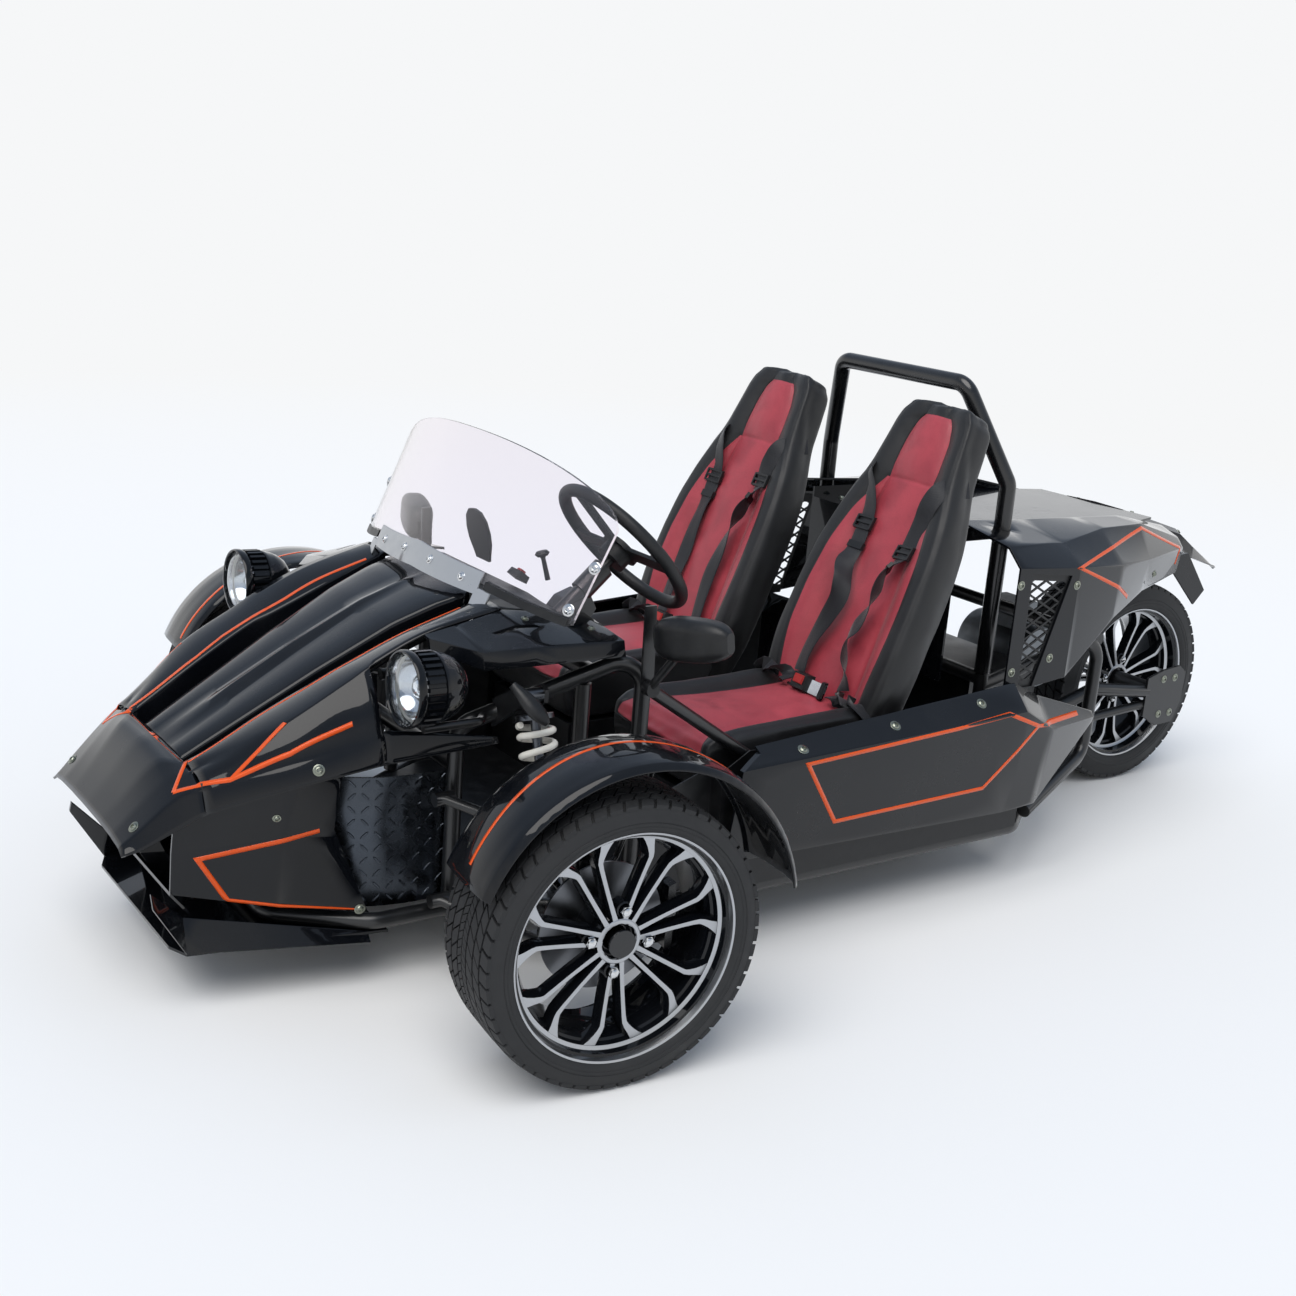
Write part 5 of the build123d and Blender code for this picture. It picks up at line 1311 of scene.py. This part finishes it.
def add_fixing(shape, place, radius, mark):
    """Button-head screw on a washer, with a socket in its head."""
    shape.turn([(radius * 1.45, -0.4), (radius * 1.45, 0.9), (radius * 1.35, 1.3), (radius, 1.4)], 24, mark, place)
    shape.turn([(radius, 1.2), (radius, 2.4), (radius * 0.82, 4.2), (radius * 0.55, 5.0)], 24, mark, place)
    shape.turn([(radius * 0.55, 5.0), (radius * 0.48, 4.8), (radius * 0.44, 2.6), (0.01, 2.4)], 6, mark, place)


def build_fixings():
    """Screws that hold the panels, the screen and the axle plate."""
    marks = {"bolt": 0, "chrome": 1}
    trees = {}
    screws = Shape()
    for node, spot, way, radius, finish, both in FIXINGS:
        if node not in trees:
            trees[node] = surface(node)
        for side in (1, -1) if both else (1,):
            if node == "swingarm":
                found, facing = Vector((spot[0], 200, spot[2])), Vector((0, 1, 0))
            else:
                found, facing = on_surface(trees[node], mirrored(spot, side), mirrored(way, side))
            add_fixing(screws, basis(found, facing.orthogonal(), facing), radius, marks[finish])
    screws.piece("panel_screws", [FINISH["bolt"], FINISH["chrome"]], "chassis", "black_steel", 30)


# Chequer plate on the footbox, in millimetres
FOOT_BEND_X = 1123.0
FOOT_R = 300.2
LOZENGE_PITCH = 27.0


def build_chequer():
    """Raised lozenges of the chequer plate round the footbox."""
    plate = Shape()
    straight = FOOT_BEND_X - 1034.0
    girth = 2 * straight + math.pi * FOOT_R
    columns = int(girth / LOZENGE_PITCH)
    rows = int((438 - 160) / LOZENGE_PITCH)
    for column in range(columns):
        for row in range(rows):
            along = (column + 0.5) * girth / columns
            lean = 45 if (row + column) % 2 else -45
            if along < straight:
                spot, out = Vector((1034 + along, FOOT_R, 0)), Vector((0, 1, 0))
            elif along > girth - straight:
                spot, out = Vector((1034 + girth - along, -FOOT_R, 0)), Vector((0, -1, 0))
            else:
                angle = math.pi / 2 - (along - straight) / FOOT_R
                out = Vector((math.cos(angle), math.sin(angle), 0))
                spot = Vector((FOOT_BEND_X, 0, 0)) + out * FOOT_R
            spot.z = 160 + (row + 0.6) * (438 - 160) / rows
            place = basis(spot, (0, 0, 1), out) @ Matrix.Rotation(math.radians(lean), 4, "Z")
            outline = [(-12, 0), (-7, -2.8), (7, -2.8), (12, 0), (7, 2.8), (-7, 2.8)]
            plate.loft([[place @ Vector((x, y, -0.3)) for x, y in outline],
                        [place @ Vector((x * 0.86, y * 0.55, 1.7)) for x, y in outline]])
    plate.piece("chequer_lozenges", [FINISH["plate"]], "chassis", "treadplate", 50)


# Cockpit fittings

def build_cockpit():
    """Instrument on the scuttle and its switches."""
    fittings = Shape()
    plate = basis((800, -57, 786), (0, -1, 0), (-0.97, 0, 0.24))
    outline = [(-30, 0), (30, 0), (34, 10), (50, 44), (53, 70), (46, 98), (28, 116), (0, 121), (-28, 116),
               (-46, 98), (-53, 70), (-50, 44), (-34, 10)]
    fittings.loft([[plate @ Vector((x * 0.97, y, -3)) for x, y in outline],
                   [plate @ Vector((x, y, -2)) for x, y in outline],
                   [plate @ Vector((x, y, 2)) for x, y in outline],
                   [plate @ Vector((x * 0.97, y, 3)) for x, y in outline]])
    for u, v, wide, high in ((-22, 82, 9, 26), (22, 82, 9, 26), (0, 98, 12, 12), (-18, 34, 10, 10), (18, 34, 10, 10)):
        slot = plate @ Matrix.Translation((u, v, 3))
        rim = [(0.62, 0), (0.58, 1.2), (0.42, 1.2), (0.38, 0.2)]
        fittings.turn([(wide * share, h) for share, h in rim] + [(0.01, 0.2)], 20, 2,
                      slot @ Matrix.Diagonal((1, high / wide, 1, 1)))
    lever = basis((742, 104, 820), (1, 0, 0), (0.2, -0.2, 1))
    fittings.turn([(0.01, -48), (6, -48), (5, 0), (7, 6), (0.01, 8)], 16, 0, lever)
    fittings.turn([(0.01, -7), (12, -6), (17, 0), (12, 6), (0.01, 7)], 24, 0, lever @ Matrix.Translation((0, 0, 12)))
    switch = basis((812, 120, 792), (0, 1, 0), (-0.6, 0, 0.8))
    fittings.box(switch, (46, 30, 16), 0, 0.9)
    fittings.box(switch @ Matrix.Translation((0, 0, 10)), (18, 16, 8), 3, 0.8)
    fittings.piece("scuttle_instrument", [FINISH["plastic"], FINISH["mirror"], FINISH["coil"], FINISH["latch"]],
                   "chassis", "black_plastic", 30)


# Floor, lights and camera

CAMERA_PLACE = Vector((2.604, 3.113, 1.639))
CAMERA_RIGHT = Vector((-0.822, 0.564, 0.077))
CAMERA_UP = Vector((-0.094, -0.268, 0.959))
CAMERA_LENS = 45.71


def set_camera():
    """Camera at the photograph's angle."""
    data = bpy.data.cameras.new("camera")
    data.lens = CAMERA_LENS
    data.sensor_width = 36.0
    data.clip_start = 0.05
    data.clip_end = 1000.0
    camera = bpy.data.objects.new("camera", data)
    bpy.context.scene.collection.objects.link(camera)
    back = CAMERA_RIGHT.cross(CAMERA_UP).normalized()
    right = CAMERA_UP.cross(back).normalized()
    up = back.cross(right)
    place = Matrix((right, up, back)).transposed().to_4x4()
    place.translation = CAMERA_PLACE
    camera.matrix_world = place
    bpy.context.scene.camera = camera


# Half of the floor and its fade into the horizon, in metres, and the sky's two colours
FLOOR_REACH = 400.0
FADE_START, FADE_END = 3.0, 9.0
HORIZON, ZENITH = "#F6F7F8", "#A4B2C6"


def build_stage():
    """Pale floor that fades into a pale horizon, a plain sky and one soft sun."""
    stage = settings("trike_stage")
    corners = [(-1, -1), (1, -1), (1, 1), (-1, 1)]
    mesh = bpy.data.meshes.new("studio_floor")
    mesh.from_pydata([(x * FLOOR_REACH, y * FLOOR_REACH, 0) for x, y in corners], [], [[0, 1, 2, 3]])
    # Past a few metres the paper glows as pale as the sky behind it, so that no far edge shows
    finish, tree, shader = start_finish("matt_studio_paper", Base_Color=stage.floor, Roughness=0.9,
                                        Specular_IOR_Level=0.1)
    place = add_node(tree, "ShaderNodeNewGeometry").outputs["Position"]
    away = add_node(tree, "ShaderNodeVectorMath", {"operation": "LENGTH"}, {0: place})
    fade = add_node(tree, "ShaderNodeMapRange", {1: FADE_START, 2: FADE_END}, {0: away.outputs["Value"]})
    glow = add_node(tree, "ShaderNodeEmission", {"Color": linear(HORIZON), "Strength": 1.0})
    blend = add_node(tree, "ShaderNodeMixShader", links={0: fade.outputs[0], 1: shader.outputs[0],
                                                         2: glow.outputs[0]})
    tree.links.new(blend.outputs[0], tree.nodes["Material Output"].inputs["Surface"])
    mesh.materials.append(finish)
    ground = bpy.data.objects.new("studio_floor", mesh)
    bpy.context.scene.collection.objects.link(ground)
    world = bpy.data.worlds.new("studio_sky")
    world.use_nodes = True
    bpy.context.scene.world = world
    tree = world.node_tree
    where = add_node(tree, "ShaderNodeTexCoord").outputs["Generated"]
    height = add_node(tree, "ShaderNodeSeparateXYZ", links={0: where}).outputs["Z"]
    ramp = add_node(tree, "ShaderNodeValToRGB", links={0: height})
    for element, (colour, rise) in zip(ramp.color_ramp.elements, ((HORIZON, 0.14), (ZENITH, 0.55))):
        element.color = linear(colour)
        element.position = rise
    tree.links.new(ramp.outputs[0], tree.nodes["Background"].inputs["Color"])
    sun = bpy.data.lights.new("soft_sun", "SUN")
    sun.energy = stage.light
    sun.angle = math.radians(50)
    sun.color = (1.0, 0.965, 0.92)
    lamp = bpy.data.objects.new("soft_sun", sun)
    bpy.context.scene.collection.objects.link(lamp)
    lamp.rotation_mode = "QUATERNION"
    lamp.rotation_quaternion = Vector((-0.45, -0.35, -1.0)).to_track_quat("-Z", "Y")
    bpy.context.scene.view_settings.view_transform = "Standard"


# Operators, one for each piece or group of like pieces

class BuildOperator:
    """Base of the operators: runs one maker."""

    bl_options = {"REGISTER", "UNDO"}
    maker = None

    def execute(self, context):
        type(self).maker()
        return {"FINISHED"}


class TRIKE_OT_camera(BuildOperator, bpy.types.Operator):
    """Place the camera at the photograph's angle"""
    bl_idname = "trike.camera"
    bl_label = "Camera"
    maker = staticmethod(set_camera)


class TRIKE_OT_finishes(BuildOperator, bpy.types.Operator):
    """Mix the paint, metal, rubber and leatherette"""
    bl_idname = "trike.finishes"
    bl_label = "Finishes"
    maker = staticmethod(mix_finishes)


class TRIKE_OT_panels(BuildOperator, bpy.types.Operator):
    """Paint the body panels and frame and soften their edges"""
    bl_idname = "trike.panels"
    bl_label = "Panels and frame"
    maker = staticmethod(dress_nodes)


class TRIKE_OT_nose(BuildOperator, bpy.types.Operator):
    """Build the nose cowl and the hood"""
    bl_idname = "trike.nose"
    bl_label = "Nose and hood"
    maker = staticmethod(build_nose)


class TRIKE_OT_screen(BuildOperator, bpy.types.Operator):
    """Build the windscreen"""
    bl_idname = "trike.screen"
    bl_label = "Windscreen"
    maker = staticmethod(build_screen)


class TRIKE_OT_wheels(BuildOperator, bpy.types.Operator):
    """Build the alloy wheels and treaded tyres"""
    bl_idname = "trike.wheels"
    bl_label = "Wheels"
    maker = staticmethod(build_wheels)


class TRIKE_OT_seats(BuildOperator, bpy.types.Operator):
    """Build the two bucket seats"""
    bl_idname = "trike.seats"
    bl_label = "Seats"
    maker = staticmethod(build_seats)


class TRIKE_OT_harnesses(BuildOperator, bpy.types.Operator):
    """Build the harness straps and latches"""
    bl_idname = "trike.harnesses"
    bl_label = "Harnesses"
    maker = staticmethod(build_harnesses)


class TRIKE_OT_lamps(BuildOperator, bpy.types.Operator):
    """Build the bullet headlamps"""
    bl_idname = "trike.lamps"
    bl_label = "Headlamps"
    maker = staticmethod(build_lamps)


class TRIKE_OT_springs(BuildOperator, bpy.types.Operator):
    """Build the coil springs"""
    bl_idname = "trike.springs"
    bl_label = "Springs"
    maker = staticmethod(build_springs)


class TRIKE_OT_stripes(BuildOperator, bpy.types.Operator):
    """Lay the orange pinstripes on the panels"""
    bl_idname = "trike.stripes"
    bl_label = "Pinstripes"
    maker = staticmethod(build_stripes)


class TRIKE_OT_fixings(BuildOperator, bpy.types.Operator):
    """Put in the panel screws"""
    bl_idname = "trike.fixings"
    bl_label = "Screws"
    maker = staticmethod(build_fixings)


class TRIKE_OT_chequer(BuildOperator, bpy.types.Operator):
    """Raise the lozenges of the chequer plate"""
    bl_idname = "trike.chequer"
    bl_label = "Chequer plate"
    maker = staticmethod(build_chequer)


class TRIKE_OT_cockpit(BuildOperator, bpy.types.Operator):
    """Build the instrument and switches"""
    bl_idname = "trike.cockpit"
    bl_label = "Cockpit"
    maker = staticmethod(build_cockpit)


class TRIKE_OT_stage(BuildOperator, bpy.types.Operator):
    """Lay the floor and set the sky and sun"""
    bl_idname = "trike.stage"
    bl_label = "Stage"
    maker = staticmethod(build_stage)


OPERATORS = (TRIKE_OT_camera, TRIKE_OT_finishes, TRIKE_OT_panels, TRIKE_OT_nose, TRIKE_OT_screen,
             TRIKE_OT_wheels, TRIKE_OT_seats, TRIKE_OT_harnesses, TRIKE_OT_lamps, TRIKE_OT_springs,
             TRIKE_OT_stripes, TRIKE_OT_fixings, TRIKE_OT_chequer, TRIKE_OT_cockpit, TRIKE_OT_stage)


class TRIKE_PT_parts(bpy.types.Panel):
    """Sidebar list of the tricycle's pieces"""
    bl_label = "Electric Tricycle"
    bl_idname = "TRIKE_PT_parts"
    bl_space_type = "VIEW_3D"
    bl_region_type = "UI"
    bl_category = "Tricycle"

    def draw(self, context):
        for operator in OPERATORS:
            self.layout.operator(operator.bl_idname)
        for name in SETTINGS:
            group = getattr(context.scene, name)
            column = self.layout.column(heading=name)
            for key in group.__annotations__:
                column.prop(group, key)


def register():
    for group in (*SETTINGS.values(), *OPERATORS, TRIKE_PT_parts):
        bpy.utils.register_class(group)
    for name, group in SETTINGS.items():
        setattr(bpy.types.Scene, name, bpy.props.PointerProperty(type=group))


def unregister():
    for name in SETTINGS:
        delattr(bpy.types.Scene, name)
    for group in (TRIKE_PT_parts, *reversed(OPERATORS), *SETTINGS.values()):
        bpy.utils.unregister_class(group)


def run_operator(operator):
    """Run an operator by its name."""
    group, name = operator.bl_idname.split(".")
    return getattr(getattr(bpy.ops, group), name)()


def main():
    """Build the whole tricycle."""
    register()
    for operator in OPERATORS:
        result = run_operator(operator)
        if result != {"FINISHED"}:
            raise RuntimeError(f"{operator.bl_idname} did not finish")


if __name__ == "__main__":
    main()
